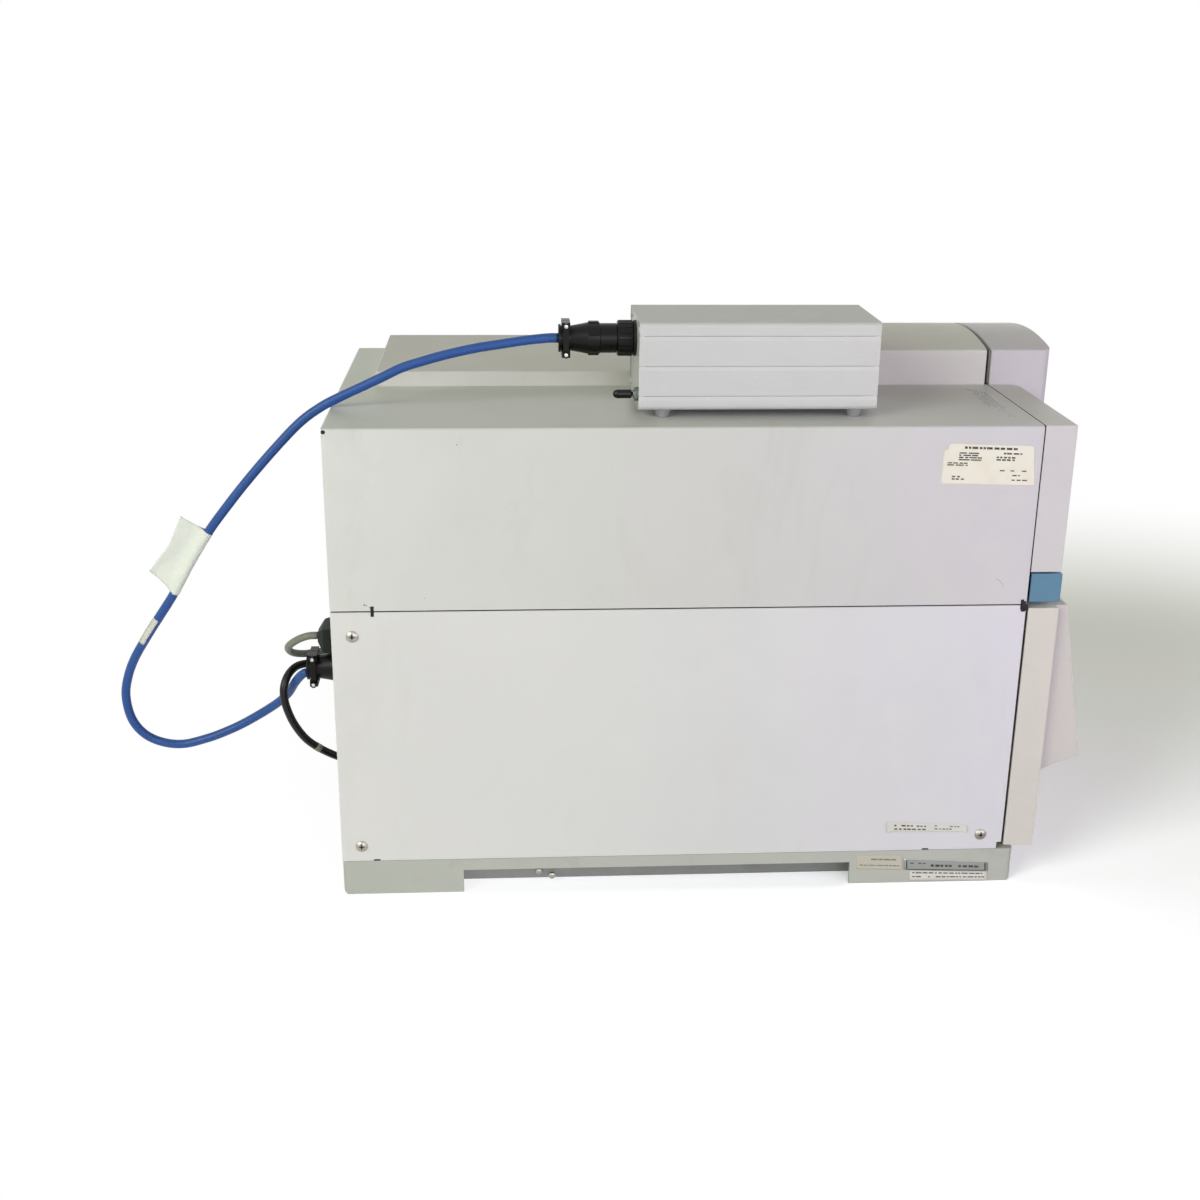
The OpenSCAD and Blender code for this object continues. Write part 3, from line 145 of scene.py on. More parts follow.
def carried_frames(path, first):
    """A tangent and two normals at each point, with as little twist as the path allows."""
    frames, normal = [], Vector(first)
    for i in range(len(path)):
        tangent = (path[min(i + 1, len(path) - 1)] - path[max(i - 1, 0)]).normalized()
        normal = (normal - tangent * normal.dot(tangent)).normalized()
        frames.append((tangent, normal, tangent.cross(normal)))
    return frames


def tube(name, path, radius, finish, sides=20, first=(0, 0, 1), swell=None):
    """A round jacket along a path; swell(i) scales its radius at a point."""
    bm = bmesh.new()
    rings = []
    for i, (p, (_, n, b)) in enumerate(zip(path, carried_frames(path, first))):
        r = radius * (swell(i) if swell else 1.0)
        rings.append([bm.verts.new(p + r * (math.cos(a) * n + math.sin(a) * b))
                      for a in (2 * math.pi * k / sides for k in range(sides))])
    for low, high in zip(rings, rings[1:]):
        for k in range(sides):
            bm.faces.new((low[k], low[(k + 1) % sides], high[(k + 1) % sides], high[k]))
    bm.faces.new(list(reversed(rings[0])))
    bm.faces.new(rings[-1])
    bmesh.ops.recalc_face_normals(bm, faces=bm.faces)
    return publish(bm, name, [finish])


def turned(bm, profile, centre, axis, sides=32, material=0):
    """Turns a profile of (distance along the axis, radius), in millimetres, into bm."""
    axis = Vector(axis).normalized()
    side = axis.orthogonal().normalized()
    other = axis.cross(side)
    rings = []
    for along, radius in profile:
        middle = centre + axis * along * MM
        if radius < 1e-6:
            rings.append([bm.verts.new(middle)])
            continue
        rings.append([bm.verts.new(middle + radius * MM * (math.cos(a) * side + math.sin(a) * other))
                      for a in (2 * math.pi * k / sides for k in range(sides))])
    made = []
    for low, high in zip(rings, rings[1:]):
        for k in range(sides):
            j = (k + 1) % sides
            corners = [low[k % len(low)], low[j % len(low)], high[j % len(high)], high[k % len(high)]]
            unique = list(dict.fromkeys(corners))
            if len(unique) > 2:
                made.append(bm.faces.new(unique))
    for face in made:
        face.material_index = material
    bmesh.ops.recalc_face_normals(bm, faces=made)
    return made


def prism(bm, outline, direction, material=0):
    """Adds the solid between an outline of points and the same outline moved by direction."""
    low = [bm.verts.new(p) for p in outline]
    high = [bm.verts.new(Vector(p) + Vector(direction)) for p in outline]
    faces = [bm.faces.new(low), bm.faces.new(list(reversed(high)))]
    for k in range(len(low)):
        j = (k + 1) % len(low)
        faces.append(bm.faces.new((low[j], low[k], high[k], high[j])))
    for face in faces:
        face.material_index = material
    bmesh.ops.recalc_face_normals(bm, faces=faces)
    return faces


def box_in(bm, x, y, z, material=0):
    """Adds a block given by its spans in the covers' frame."""
    outline = [at(x[0], y[0], z[0]), at(x[1], y[0], z[0]), at(x[1], y[1], z[0]), at(x[0], y[1], z[0])]
    return prism(bm, outline, (0, 0, (z[1] - z[0]) * MM), material)


def soften(bm, radius, segments=2, angle=30.0, clamp=True):
    """Rounds every edge sharper than angle."""
    sharp = [e for e in bm.edges if len(e.link_faces) == 2 and e.calc_face_angle(0) > math.radians(angle)]
    if sharp:
        bmesh.ops.bevel(bm, geom=sharp, offset=radius * MM, offset_type="OFFSET", segments=segments,
                        profile=0.5, affect="EDGES", clamp_overlap=clamp)


# ---- finishes ----
def linear(r, g, b):
    """An 8-bit colour as the linear one that the sockets take."""
    out = []
    for c in (r / 255, g / 255, b / 255):
        out.append(c / 12.92 if c <= 0.04045 else ((c + 0.055) / 1.055) ** 2.4)
    return (*out, 1.0)


class Finish:
    """A procedural material measured in metres on the piece itself."""

    def __init__(self, name, colour, roughness, **sockets):
        self.material = bpy.data.materials.new(name)
        self.material.use_nodes = True
        self.tree = self.material.node_tree
        self.shader = self.tree.nodes["Principled BSDF"]
        self.place = self.node("ShaderNodeTexCoord").outputs["Object"]
        self.colour = linear(*colour)
        self.rough = roughness
        self.normal = None
        for socket, value in sockets.items():
            self.shader.inputs[socket.replace("_", " ")].default_value = value

    def node(self, kind, inputs=None, **props):
        made = self.tree.nodes.new(kind)
        for key, value in props.items():
            setattr(made, key, value)
        for key, value in (inputs or {}).items():
            self.feed(made.inputs[key], value)
        return made

    def feed(self, socket, value):
        if isinstance(value, bpy.types.NodeSocket):
            self.tree.links.new(value, socket)
        else:
            socket.default_value = value

    def noise(self, size, detail=3.0, rough=0.55, stretch=(1, 1, 1), warp=0.0, shift=0.0):
        """A field from 0 to 1 with features about size metres across."""
        mapping = self.node("ShaderNodeMapping", {"Vector": self.place, "Location": (shift, shift, shift),
                                                  "Scale": tuple(s / size for s in stretch)})
        field = self.node("ShaderNodeTexNoise", {"Vector": mapping.outputs[0], "Scale": 1.0, "Detail": detail,
                                                 "Roughness": rough, "Distortion": warp})
        return field.outputs[0]

    def cells(self, size, stretch=(1, 1, 1), feature="F1"):
        mapping = self.node("ShaderNodeMapping",
                            {"Vector": self.place, "Scale": tuple(s / size for s in stretch)})
        field = self.node("ShaderNodeTexVoronoi", {"Vector": mapping.outputs[0], "Scale": 1.0},
                          feature=feature)
        return field.outputs["Distance"]

    def axis(self, letter):
        return self.node("ShaderNodeSeparateXYZ", {0: self.place}).outputs[letter]

    def remap(self, value, low, high, out_low=0.0, out_high=1.0):
        made = self.node("ShaderNodeMapRange", {"Value": value, "From Min": low, "From Max": high,
                                                "To Min": out_low, "To Max": out_high})
        return made.outputs[0]

    def maths(self, operation, a, b=0.0):
        return self.node("ShaderNodeMath", {0: a, 1: b}, operation=operation).outputs[0]

    def lay(self, amount, colour):
        """Lays a colour over what there is, by an amount from 0 to 1."""
        made = self.node("ShaderNodeMix", {0: amount, 6: self.colour, 7: linear(*colour)}, data_type="RGBA")
        self.colour = made.outputs[2]
        return self

    def polish(self, amount, low, high):
        """Lets roughness vary from low to high with an amount."""
        self.rough = self.remap(amount, 0.0, 1.0, low, high)
        return self

    def relief(self, height, depth):
        """Adds relief, depth metres high, to the surface."""
        made = self.node("ShaderNodeBump", {"Height": height, "Distance": depth, "Strength": 1.0})
        if self.normal is not None:
            self.feed(made.inputs["Normal"], self.normal)
        self.normal = made.outputs[0]
        return self

    def done(self):
        self.feed(self.shader.inputs["Base Color"], self.colour)
        self.feed(self.shader.inputs["Roughness"], self.rough)
        if self.normal is not None:
            self.feed(self.shader.inputs["Normal"], self.normal)
        return self.material


def scaled(colour, factor):
    return tuple(max(0, min(255, c * factor)) for c in colour)


def enamel(name, colour, rear, front, roughness=0.42, grime=0.25):
    """Baked enamel on sheet steel: orange peel, clouding, fingermarks, and painted light, a lighter warm tint
    towards the rear and a lavender tint towards the front.
    """
    f = Finish(name, colour, roughness, Specular_IOR_Level=0.42)
    # painted light: the colour runs to the rear tint behind the middle and to the lavender front tint ahead of it,
    # standing for warmer light on the rear and lavender light on the front
    f.lay(f.remap(f.axis("X"), 0.0, -0.26, 0.0, 1.0), rear)
    f.lay(f.remap(f.axis("X"), 0.0, 0.25, 0.0, 1.0), front)
    f.lay(f.remap(f.noise(0.22, 2.0), 0.35, 0.75, 0.0, 0.5), scaled(colour, 0.975))
    f.lay(f.remap(f.noise(0.035, 4.0, shift=3.1), 0.45, 0.8, 0.0, 0.5), scaled(colour, 1.015))
    smears = f.remap(f.noise(0.05, 5.0, 0.65, stretch=(1.0, 1.0, 0.35), warp=0.8, shift=7.7), 0.56, 0.8)
    f.lay(f.maths("MULTIPLY", smears, grime), (colour[0] * 0.90, colour[1] * 0.895, colour[2] * 0.86))
    specks = f.remap(f.noise(0.0022, 1.0, shift=1.7), 0.765, 0.80)
    f.lay(f.maths("MULTIPLY", specks, 0.35 * grime + 0.05), scaled(colour, 0.62))
    f.polish(f.noise(0.045, 4.0, shift=2.2, warp=0.5), roughness - 0.07, roughness + 0.10)
    f.relief(f.noise(0.0011, 2.0, 0.5), 0.000012)
    f.relief(f.noise(0.06, 1.0), 0.00016)
    return f.done()


def moulded(name, colour, roughness=0.5, grain=0.0009, depth=0.00002, grime=0.25, shine=0.45):
    """Moulded plastic with a spark-eroded grain, flow clouding and hand marks."""
    f = Finish(name, colour, roughness, Specular_IOR_Level=shine)
    f.lay(f.remap(f.noise(0.09, 3.0), 0.4, 0.75, 0.0, 0.5), scaled(colour, 0.97))
    f.lay(f.remap(f.noise(0.012, 3.0, shift=4.0), 0.5, 0.8, 0.0, 0.35), scaled(colour, 1.025))
    marks = f.remap(f.noise(0.03, 5.0, 0.65, warp=1.0, shift=9.0), 0.57, 0.8)
    f.lay(f.maths("MULTIPLY", marks, grime), (colour[0] * 0.88, colour[1] * 0.87, colour[2] * 0.84))
    f.polish(f.noise(0.03, 3.0, shift=6.0), roughness - 0.06, roughness + 0.09)
    f.relief(f.cells(grain), depth)
    f.relief(f.noise(grain * 0.6, 2.0), depth * 0.7)
    return f.done()


def metal(name, colour, roughness=0.35, brush=(1.0, 40.0, 40.0), depth=0.000006, stain=0.3, metallic=1.0):
    """Bare or plated metal: drawn lines, dull patches and small scratches."""
    f = Finish(name, colour, roughness, Metallic=metallic)
    lines = f.noise(0.012, 3.0, 0.6, stretch=brush)
    f.lay(f.remap(lines, 0.35, 0.7, 0.0, 0.35), scaled(colour, 0.93))
    patches = f.remap(f.noise(0.03, 4.0, 0.6, shift=3.0), 0.5, 0.75)
    f.lay(f.maths("MULTIPLY", patches, stain), (colour[0] * 0.86, colour[1] * 0.86, colour[2] * 0.83))
    scratches = f.remap(f.noise(0.02, 2.0, 0.5, stretch=(9.0, 0.7, 9.0), warp=0.4, shift=8.0), 0.70, 0.73)
    f.lay(f.maths("MULTIPLY", scratches, 0.25), scaled(colour, 1.12))
    f.polish(f.noise(0.02, 4.0, shift=5.0), roughness - 0.08, roughness + 0.12)
    f.relief(lines, depth)
    return f.done()


def spangled(name, colour, roughness=0.4):
    """Zinc-plated sheet with its faint crystal pattern."""
    f = Finish(name, colour, roughness, Metallic=0.85)
    cell = f.cells(0.009, feature="F1")
    f.lay(f.remap(cell, 0.2, 0.8, 0.0, 0.35), scaled(colour, 0.90))
    f.lay(f.remap(f.noise(0.05, 4.0), 0.5, 0.8, 0.0, 0.4), scaled(colour, 0.94))
    f.polish(f.maths("MULTIPLY", cell, 1.0), roughness - 0.06, roughness + 0.14)
    f.relief(f.noise(0.002, 3.0), 0.000008)
    return f.done()


def rubbery(name, colour, roughness=0.7):
    f = Finish(name, colour, roughness, Specular_IOR_Level=0.35)
    f.lay(f.remap(f.noise(0.006, 4.0), 0.45, 0.75, 0.0, 0.5), scaled(colour, 1.25))
    f.lay(f.remap(f.noise(0.0012, 2.0), 0.62, 0.75, 0.0, 0.25), scaled(colour, 1.5))
    f.polish(f.noise(0.004, 3.0), roughness - 0.1, roughness + 0.12)
    f.relief(f.noise(0.0006, 2.0), 0.00001)
    return f.done()


def jacket(name, colour, roughness=0.32, dust=0.25):
    """A cable jacket: smooth plasticised PVC with scuffs, dust and faint ripples from the cores."""
    f = Finish(name, colour, roughness, Specular_IOR_Level=0.3, Coat_Weight=0.08, Coat_Roughness=0.25)
    f.lay(f.remap(f.noise(0.03, 3.0), 0.4, 0.7, 0.0, 0.5), scaled(colour, 0.88))
    f.lay(f.remap(f.noise(0.009, 4.0, shift=2.0), 0.5, 0.8, 0.0, 0.4), scaled(colour, 1.10))
    scuffs = f.remap(f.noise(0.004, 4.0, 0.7, warp=1.5, shift=6.0), 0.66, 0.78)
    f.lay(f.maths("MULTIPLY", scuffs, dust), (150, 152, 150))
    f.polish(f.noise(0.006, 4.0, shift=4.0), roughness - 0.08, roughness + 0.16)
    f.relief(f.noise(0.0055, 2.0), 0.00008)
    f.relief(f.noise(0.0007, 2.0), 0.000006)
    return f.done()


def paper(name, colour, stain=(214, 200, 160), roughness=0.75, gloss=0.35):
    """Label stock: fibres, yellowing and a worn face."""
    f = Finish(name, colour, roughness, Specular_IOR_Level=gloss)
    f.lay(f.remap(f.noise(0.012, 4.0, 0.6), 0.45, 0.8, 0.0, 0.45), stain)
    f.lay(f.remap(f.noise(0.0009, 3.0, 0.6, stretch=(1.0, 1.0, 3.0)), 0.55, 0.8, 0.0, 0.25),
          scaled(colour, 0.88))
    f.lay(f.remap(f.noise(0.0035, 5.0, 0.7, shift=3.0), 0.66, 0.72, 0.0, 0.4), scaled(stain, 0.82))
    f.relief(f.noise(0.0007, 3.0, 0.6), 0.00001)
    f.relief(f.noise(0.004, 2.0), 0.00004)
    return f.done()


def ink(name, colour, fade=0.35):
    """Printing ink, thin in places."""
    f = Finish(name, colour, 0.6)
    f.lay(f.remap(f.noise(0.0018, 4.0, 0.7), 0.45, 0.7, 0.0, fade), (190, 190, 182))
    f.relief(f.noise(0.0005, 2.0), 0.000004)
    return f.done()


def circuit(name):
    f = Finish(name, (26, 84, 52), 0.35, Specular_IOR_Level=0.5, Coat_Weight=0.3, Coat_Roughness=0.2)
    tracks = f.remap(f.cells(0.004, feature="DISTANCE_TO_EDGE"), 0.03, 0.08, 1.0, 0.0)
    f.lay(f.maths("MULTIPLY", tracks, 0.7), (52, 124, 70))
    pads = f.remap(f.cells(0.0032), 0.10, 0.14, 1.0, 0.0)
    f.lay(pads, (176, 160, 96))
    f.polish(f.noise(0.02, 3.0), 0.28, 0.45)
    f.relief(tracks, 0.00003)
    return f.done()


def tinted_window(name, colour=(22, 26, 30)):
    f = Finish(name, colour, 0.08, Specular_IOR_Level=0.6, Coat_Weight=0.6, Coat_Roughness=0.05)
    f.lay(f.remap(f.noise(0.02, 3.0), 0.5, 0.8, 0.0, 0.3), scaled(colour, 1.5))
    f.polish(f.remap(f.noise(0.01, 5.0, 0.7), 0.55, 0.75), 0.06, 0.22)
    return f.done()


def ceramic(name, colour):
    f = Finish(name, colour, 0.45, Specular_IOR_Level=0.5, Subsurface_Weight=0.05)
    f.lay(f.remap(f.noise(0.008, 4.0), 0.45, 0.8, 0.0, 0.4), scaled(colour, 0.93))
    f.polish(f.noise(0.004, 3.0), 0.38, 0.58)
    f.relief(f.noise(0.0006, 3.0), 0.000006)
    return f.done()


# the rear and front colours given to both covers are painted light, tints of the lamps rather than of the enamel
LOWER_PAINT = enamel("lower_cover_enamel", (231, 233, 233), (241, 241, 240), (235, 232, 245), 0.42, 0.18)
UPPER_PAINT = enamel("upper_cover_enamel", (221, 222, 220), (235, 239, 235), (221, 218, 226), 0.40, 0.30)
ANALYZER = moulded("analyzer_plastic", (224, 222, 219), 0.45, 0.0008, 0.000012, 0.25)
WINDOW = moulded("window_cover_plastic", (214, 210, 217), 0.45, 0.0008, 0.000012, 0.25)
BEZEL = moulded("front_bezel_plastic", (222, 219, 222), 0.46, 0.0008, 0.000014, 0.22)
LOWER_BEZEL = moulded("lower_bezel_plastic", (228, 224, 218), 0.48, 0.0009, 0.000016, 0.30)
HOUSING = moulded("panel_housing_plastic", (219, 215, 213), 0.48, 0.0009, 0.000016, 0.25)
TRAY = moulded("base_tray_plastic", (196, 200, 192), 0.55, 0.0011, 0.00003, 0.40)
ACCENT = moulded("accent_plastic", (98, 141, 170), 0.42, 0.0008, 0.000012, 0.25)
PAN_STEEL = metal("pan_steel", (150, 152, 150), 0.5, (1.0, 1.0, 1.0), 0.00001, 0.5, 0.8)
ZINC = spangled("zinc_sheet", (188, 190, 190), 0.42)
REAR_ZINC = spangled("rear_panel_zinc", (196, 198, 198), 0.40)
SCREW = metal("screw_steel", (184, 180, 170), 0.32, (6.0, 6.0, 6.0), 0.000004, 0.5)
BRIGHT = metal("bright_steel", (206, 208, 204), 0.30, (4.0, 4.0, 4.0), 0.000003, 0.2)
WIRE = metal("guard_wire_steel", (150, 152, 152), 0.34, (3.0, 3.0, 3.0), 0.000004, 0.5)
MACHINED = metal("machined_aluminium", (206, 208, 210), 0.36, (2.0, 30.0, 30.0), 0.000008, 0.25)
ROD = metal("rod_steel", (204, 200, 190), 0.25, (1.0, 30.0, 30.0), 0.000003, 0.2)
EXTRUSION = metal("extruded_aluminium", (214, 215, 216), 0.50, (1.0, 70.0, 70.0), 0.000005, 0.10, 0.10)
END_PLATE = metal("end_plate_aluminium", (214, 214, 210), 0.42, (70.0, 70.0, 1.0), 0.000005, 0.15, 0.35)
FEET = rubbery("foot_rubber", (150, 152, 154), 0.62)
BLACK = moulded("black_plastic", (28, 28, 29), 0.42, 0.0007, 0.000015, 0.25, 0.3)
FAN_BLACK = moulded("fan_plastic", (34, 35, 36), 0.5, 0.0009, 0.00002, 0.4, 0.3)
PLUG = moulded("plug_plastic", (9, 11, 9), 0.30, 0.0012, 0.00001, 0.3, 0.22)
LEVER = moulded("lever_plastic", (10, 10, 10), 0.18, 0.002, 0.000004, 0.1, 0.3)
HOOD = moulded("hood_plastic", (38, 43, 40), 0.5, 0.0006, 0.00003, 0.3, 0.15)
KEY = moulded("key_plastic", (136, 138, 142), 0.5, 0.0006, 0.000015, 0.3)
BUTTON = moulded("button_plastic", (205, 205, 200), 0.4, 0.0008, 0.00001, 0.3)
DISPLAY = tinted_window("display_acrylic")
BOARD = circuit("circuit_board")
COLLAR = ceramic("collar_ceramic", (232, 226, 212))
BLUE = jacket("blue_jacket", (49, 92, 168), 0.30, 0.20)
GREY = jacket("grey_jacket", (140, 144, 132), 0.42, 0.20)
CABLE_BLACK = jacket("black_jacket", (17, 17, 18), 0.26, 0.20)
LABEL = paper("cream_label", (252, 248, 236), (240, 228, 198))
WHITE_LABEL = paper("white_label", (232, 232, 226), (222, 216, 196))
TRAY_LABEL = paper("tray_label", (208, 205, 190), (196, 190, 166), 0.5)
FOIL = metal("foil_plate", (176, 180, 178), 0.38, (1.0, 1.0, 20.0), 0.000004, 0.35, 0.6)
FLAG = paper("flag_paper", (250, 255, 249), (242, 250, 236), 0.7)
FADED = ink("faded_ink", (122, 122, 116), 0.6)
DARK_INK = ink("dark_ink", (44, 45, 44), 0.3)
SCUFF = ink("bare_steel_scuff", (92, 88, 86), 0.2)
BUSH = metal("bush_nickel", (128, 136, 130), 0.28, (4.0, 4.0, 4.0), 0.000004, 0.5)
# the seals' black is partly painted shade, darkening the seams between the covers
SEAL_SHADE = rubbery("seal_rubber_painted_shade", (26, 26, 27), 0.75)
# dark grey rim: partly painted shade, darker than the window cover's plastic so that the gap between the raised
# covers reads as shaded
RIM_SHADE = moulded("window_rim_painted_shade", (112, 110, 102), 0.5)


# ---- cords: the routes are those of the part's source ----
BLUE_D, GREY_D, BLACK_D = 7.0, 5.8, 6.2
STEP = 0.0025
BLUE_ROUTE = [
    (165, 68, 412), (158, 68, 412), (143, 68, 410.5), (126, 68, 408), (104, 68, 404.5), (82, 68, 399.5),
    (66, 68, 395), (52, 68, 390.5), (37, 67, 383.5), (22, 67, 376.5), (8, 67, 370), (-7, 67, 362.2),
    (-23, 67, 350.5), (-43, 68, 330), (-63, 69, 307.5), (-79, 70, 288), (-95, 72, 267), (-111, 74, 242),
    (-126, 77, 216), (-138, 79, 198), (-150, 81, 180), (-161, 84, 162), (-168, 86, 145.5),
    (-171.5, 88, 128.5), (-169.5, 91, 108.5), (-161.5, 93, 94.5), (-148.5, 95, 86), (-132, 95, 84),
    (-113, 94, 89), (-98, 93, 95), (-83, 92, 102.5), (-66, 89, 113.5), (-53, 84, 124), (-44, 77.5, 134.5),
    (-38, 69.5, 145.5), (-33, 64, 153), (-29.5, 61.5, 156.7), (-26, 60.7, 158)]
GREY_ROUTE = [
    (-17, 62, 187.5), (-24, 62.5, 187), (-31, 65, 184), (-38, 70, 178.5), (-42, 76, 173),
    (-42.5, 83, 167.5), (-40, 90, 162.5), (-33, 97, 159), (-24, 103, 158), (-14, 107.5, 158),
    (-4, 110.5, 158), (4, 111, 158)]
BLACK_ROUTE = [
    (4, 88, 152), (-8, 88, 152.5), (-20, 87, 154), (-30, 83.5, 156), (-37, 78, 156), (-42, 71, 153),
    (-45, 66, 147), (-46, 64, 139), (-44.5, 64, 128), (-40, 66, 113.5), (-32.5, 70, 99), (-23.5, 74, 89),
    (-12, 78.5, 80), (-4, 82, 75.7), (4, 84, 74)]


def cable(name, route, diameter, finish, node, ripple):
    """A cable along its route, with the slight unevenness of the cores under its jacket."""
    path = spline([at(*p) for p in route], STEP)
    obj = tube(name, path, diameter / 2 * MM, finish, 24,
               swell=lambda i: 1.0 - ripple * (0.5 + 0.5 * noise.noise(path[i] * 60.0)))
    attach(obj, "mainframe")
    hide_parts(node)
    return obj, path


blue_cable, blue_path = cable("blue_cable", BLUE_ROUTE, BLUE_D, BLUE, "blue_cord", 0.025)
grey_cable, grey_path = cable("grey_cable", GREY_ROUTE, GREY_D, GREY, "grey_cord", 0.03)
black_cable, black_path = cable("black_cable", BLACK_ROUTE, BLACK_D, CABLE_BLACK, "black_cord",
                                0.02)

# ---- CAD nodes dressed with rounded edges ----
BODY_OF = {node: body for body, members in frame["record"]["behaviour"]["bodies"].items() for node in members}


def dress(node, finishes, radius=0.3, segments=2, folds=(), clamp=True, angle=30.0):
    """Stands for a CAD node with the same shape: flat facets merged, folds and edges rounded.

    folds holds (chosen, radius, segments): edges for which chosen(a, b) is true get that radius."""
    bm = bmesh.new()
    bm.from_mesh(NODES[node].data)
    bmesh.ops.remove_doubles(bm, verts=bm.verts, dist=2e-6)
    bmesh.ops.dissolve_limit(bm, angle_limit=math.radians(0.4), verts=bm.verts, edges=bm.edges)
    shift = Vector((CORNER.x, CORNER.y, TABLE))
    for chosen, fold_radius, fold_segments in folds:
        edges = [e for e in bm.edges if len(e.link_faces) == 2 and e.calc_face_angle(0) > math.radians(angle)
                 and chosen(*((v.co - shift) / MM for v in e.verts))]
        if edges:
            bmesh.ops.bevel(bm, geom=edges, offset=fold_radius * MM, offset_type="OFFSET",
                            segments=fold_segments, profile=0.5, affect="EDGES", clamp_overlap=False)
    soften(bm, radius, segments, angle, clamp)
    obj = publish(bm, node + "_skin", finishes)
    weigh(obj)
    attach(obj, BODY_OF[node])
    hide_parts(node)
    return obj


def carry(node, finish):
    """Gives a CAD node that stays its material."""
    materials = NODES[node].data.materials
    if len(materials) == 0:
        materials.append(finish)
    for i in range(len(materials)):
        materials[i] = finish


def add(obj, body):
    """A piece of the scene's own, riding on a body."""
    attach(obj, body)
    return obj


near = lambda value, target, play=0.05: abs(value - target) < play
UPPER_LOW, UPPER_HIGH = span("upper_cover")
DECK = UPPER_HIGH.z
COVER_L = UPPER_HIGH.x
BODY_W = span("base_tray")[1].y
HUMP_LOW, HUMP_HIGH = span("analyzer_cover")

# folds: the deck's near edge, its edge round the rear, and the raised covers' long edges
deck_fold = lambda a, b: near(a.z, DECK) and near(b.z, DECK) and near(a.y, 0) and near(b.y, 0)
rear_fold = lambda a, b: near(a.z, DECK) and near(b.z, DECK) and near(a.x, 0) and near(b.x, 0)
hump_fold = lambda a, b: (min(a.z, b.z) > DECK + 5
                          and ((near(a.y, HUMP_LOW.y) and near(b.y, HUMP_LOW.y))
                               or (near(a.y, BODY_W) and near(b.y, BODY_W))
                               or (near(a.x, HUMP_LOW.x) and near(b.x, HUMP_LOW.x))))
LOWER_TOP = span("lower_cover")[1].z
seam_fold = lambda a, b: (near(a.z, LOWER_TOP) and near(b.z, LOWER_TOP) and abs(a.x - b.x) > 20
                          and (near(a.y, 0) and near(b.y, 0) or near(a.y, BODY_W) and near(b.y, BODY_W)))
rim_fold = lambda a, b: max(a.x, b.x) < HUMP_HIGH.x + 6 and min(a.x, b.x) > HUMP_HIGH.x + 2 and near(a.x, b.x)

dress("base_tray", [TRAY], 0.5, 2)
dress("lower_cover", [LOWER_PAINT], 0.35, 2, [(seam_fold, 1.4, 4)])
dress("lower_cover_far", [LOWER_PAINT], 0.35, 2, [(seam_fold, 1.4, 4)])
dress("upper_cover", [UPPER_PAINT], 0.3, 2, [(deck_fold, 2.2, 5), (rear_fold, 1.6, 4)])
dress("upper_cover_far", [UPPER_PAINT], 0.3, 2)
dress("cover_screws", [SCREW], 0.12, 1)
dress("front_bezel", [BEZEL], 0.9, 3)
dress("accent_bar", [ACCENT], 0.8, 3)
dress("lower_bezel", [LOWER_BEZEL], 0.8, 3)
dress("panel_housing", [HOUSING], 0.7, 3)
dress("analyzer_cover", [ANALYZER], 0.4, 2, [(hump_fold, 1.6, 4)])
dress("window_cover", [WINDOW], 0.5, 2, [(hump_fold, 1.6, 4), (rim_fold, 0.9, 3)])
dress("rear_panel", [REAR_ZINC], 0.2, 1)
dress("fan_frame", [FAN_BLACK], 0.4, 2)
dress("fan_rotor", [FAN_BLACK], 0.3, 2)
dress("rear_sockets", [BLACK], 0.25, 2)
dress("gauge_receptacle", [BLACK], 0.25, 2)
dress("side_plate", [MACHINED], 0.6, 2)
dress("foreline_pipe", [ROD], 0.4, 2)
dress("vent_knob", [BLACK], 0.4, 2)
dress("power_switch", [BLACK], 0.3, 2)
dress("power_button", [BUTTON], 0.4, 2)
for number in range(1, 7):
    dress(f"key_{number}", [KEY], 0.35, 2)
dress("controller_ends", [END_PLATE], 0.25, 2)
dress("controller_feet", [FEET], 0.5, 2)
dress("controller_socket", [BLACK], 0.25, 2)
dress("switch_bush", [BUSH], 0.2, 2)
lever = dress("switch_lever", [LEVER], 0.1, 1)
plugs = dress("blue_plugs", [PLUG], 0.3, 2)
rings = dress("plug_rings", [PLUG], 0.25, 2)
clamps = dress("cable_clamps", [PLUG], 0.4, 2)
hood = dress("data_hood", [HOOD], 0.7, 2)
boots = dress("lead_plugs", [PLUG], 0.3, 2)

for node, finish in {
        "base_pan": PAN_STEEL, "chassis": ZINC, "display_window": DISPLAY, "panel_board": BOARD,
        "fan_guard": WIRE, "manifold": MACHINED, "plate_screws": SCREW, "quadrupole": ROD,
        "rod_collars": COLLAR, "ion_source": ROD, "detector": ROD, "turbo_pump": MACHINED,
        "turbo_rotor": MACHINED, "vent_valve": ROD, "rf_box": ZINC, "main_board": BOARD,
        "power_supply": ZINC, "controller_board": BOARD}.items():
    carry(node, finish)

# ---- gauge controller: the extrusion with its slanted bands ----
SHELL_LOW, SHELL_HIGH = span("controller_shell")
SHELL_R = 3.5
SHELL_WALL = 2.2
GROOVES = (52.4, 31.3, 10.1)
BAND = 3.3
BAND_IN = 0.38
LIP, LIP_T = 3.5, 0.35


def side_profile():
    """Points up the near side, as (inset, height), with the three grooves and the bands under them."""
    points = []
    for height in sorted(GROOVES):
        points += [(0.0, height - BAND), (BAND_IN, height - 0.42), (1.0, height - 0.05),
                   (0.05, height + 0.38)]
    return points


def corner_arc(y, z, start):
    return [(y + SHELL_R * math.cos(math.radians(start + 15 * k)),
             z + SHELL_R * math.sin(math.radians(start + 15 * k))) for k in range(7)]


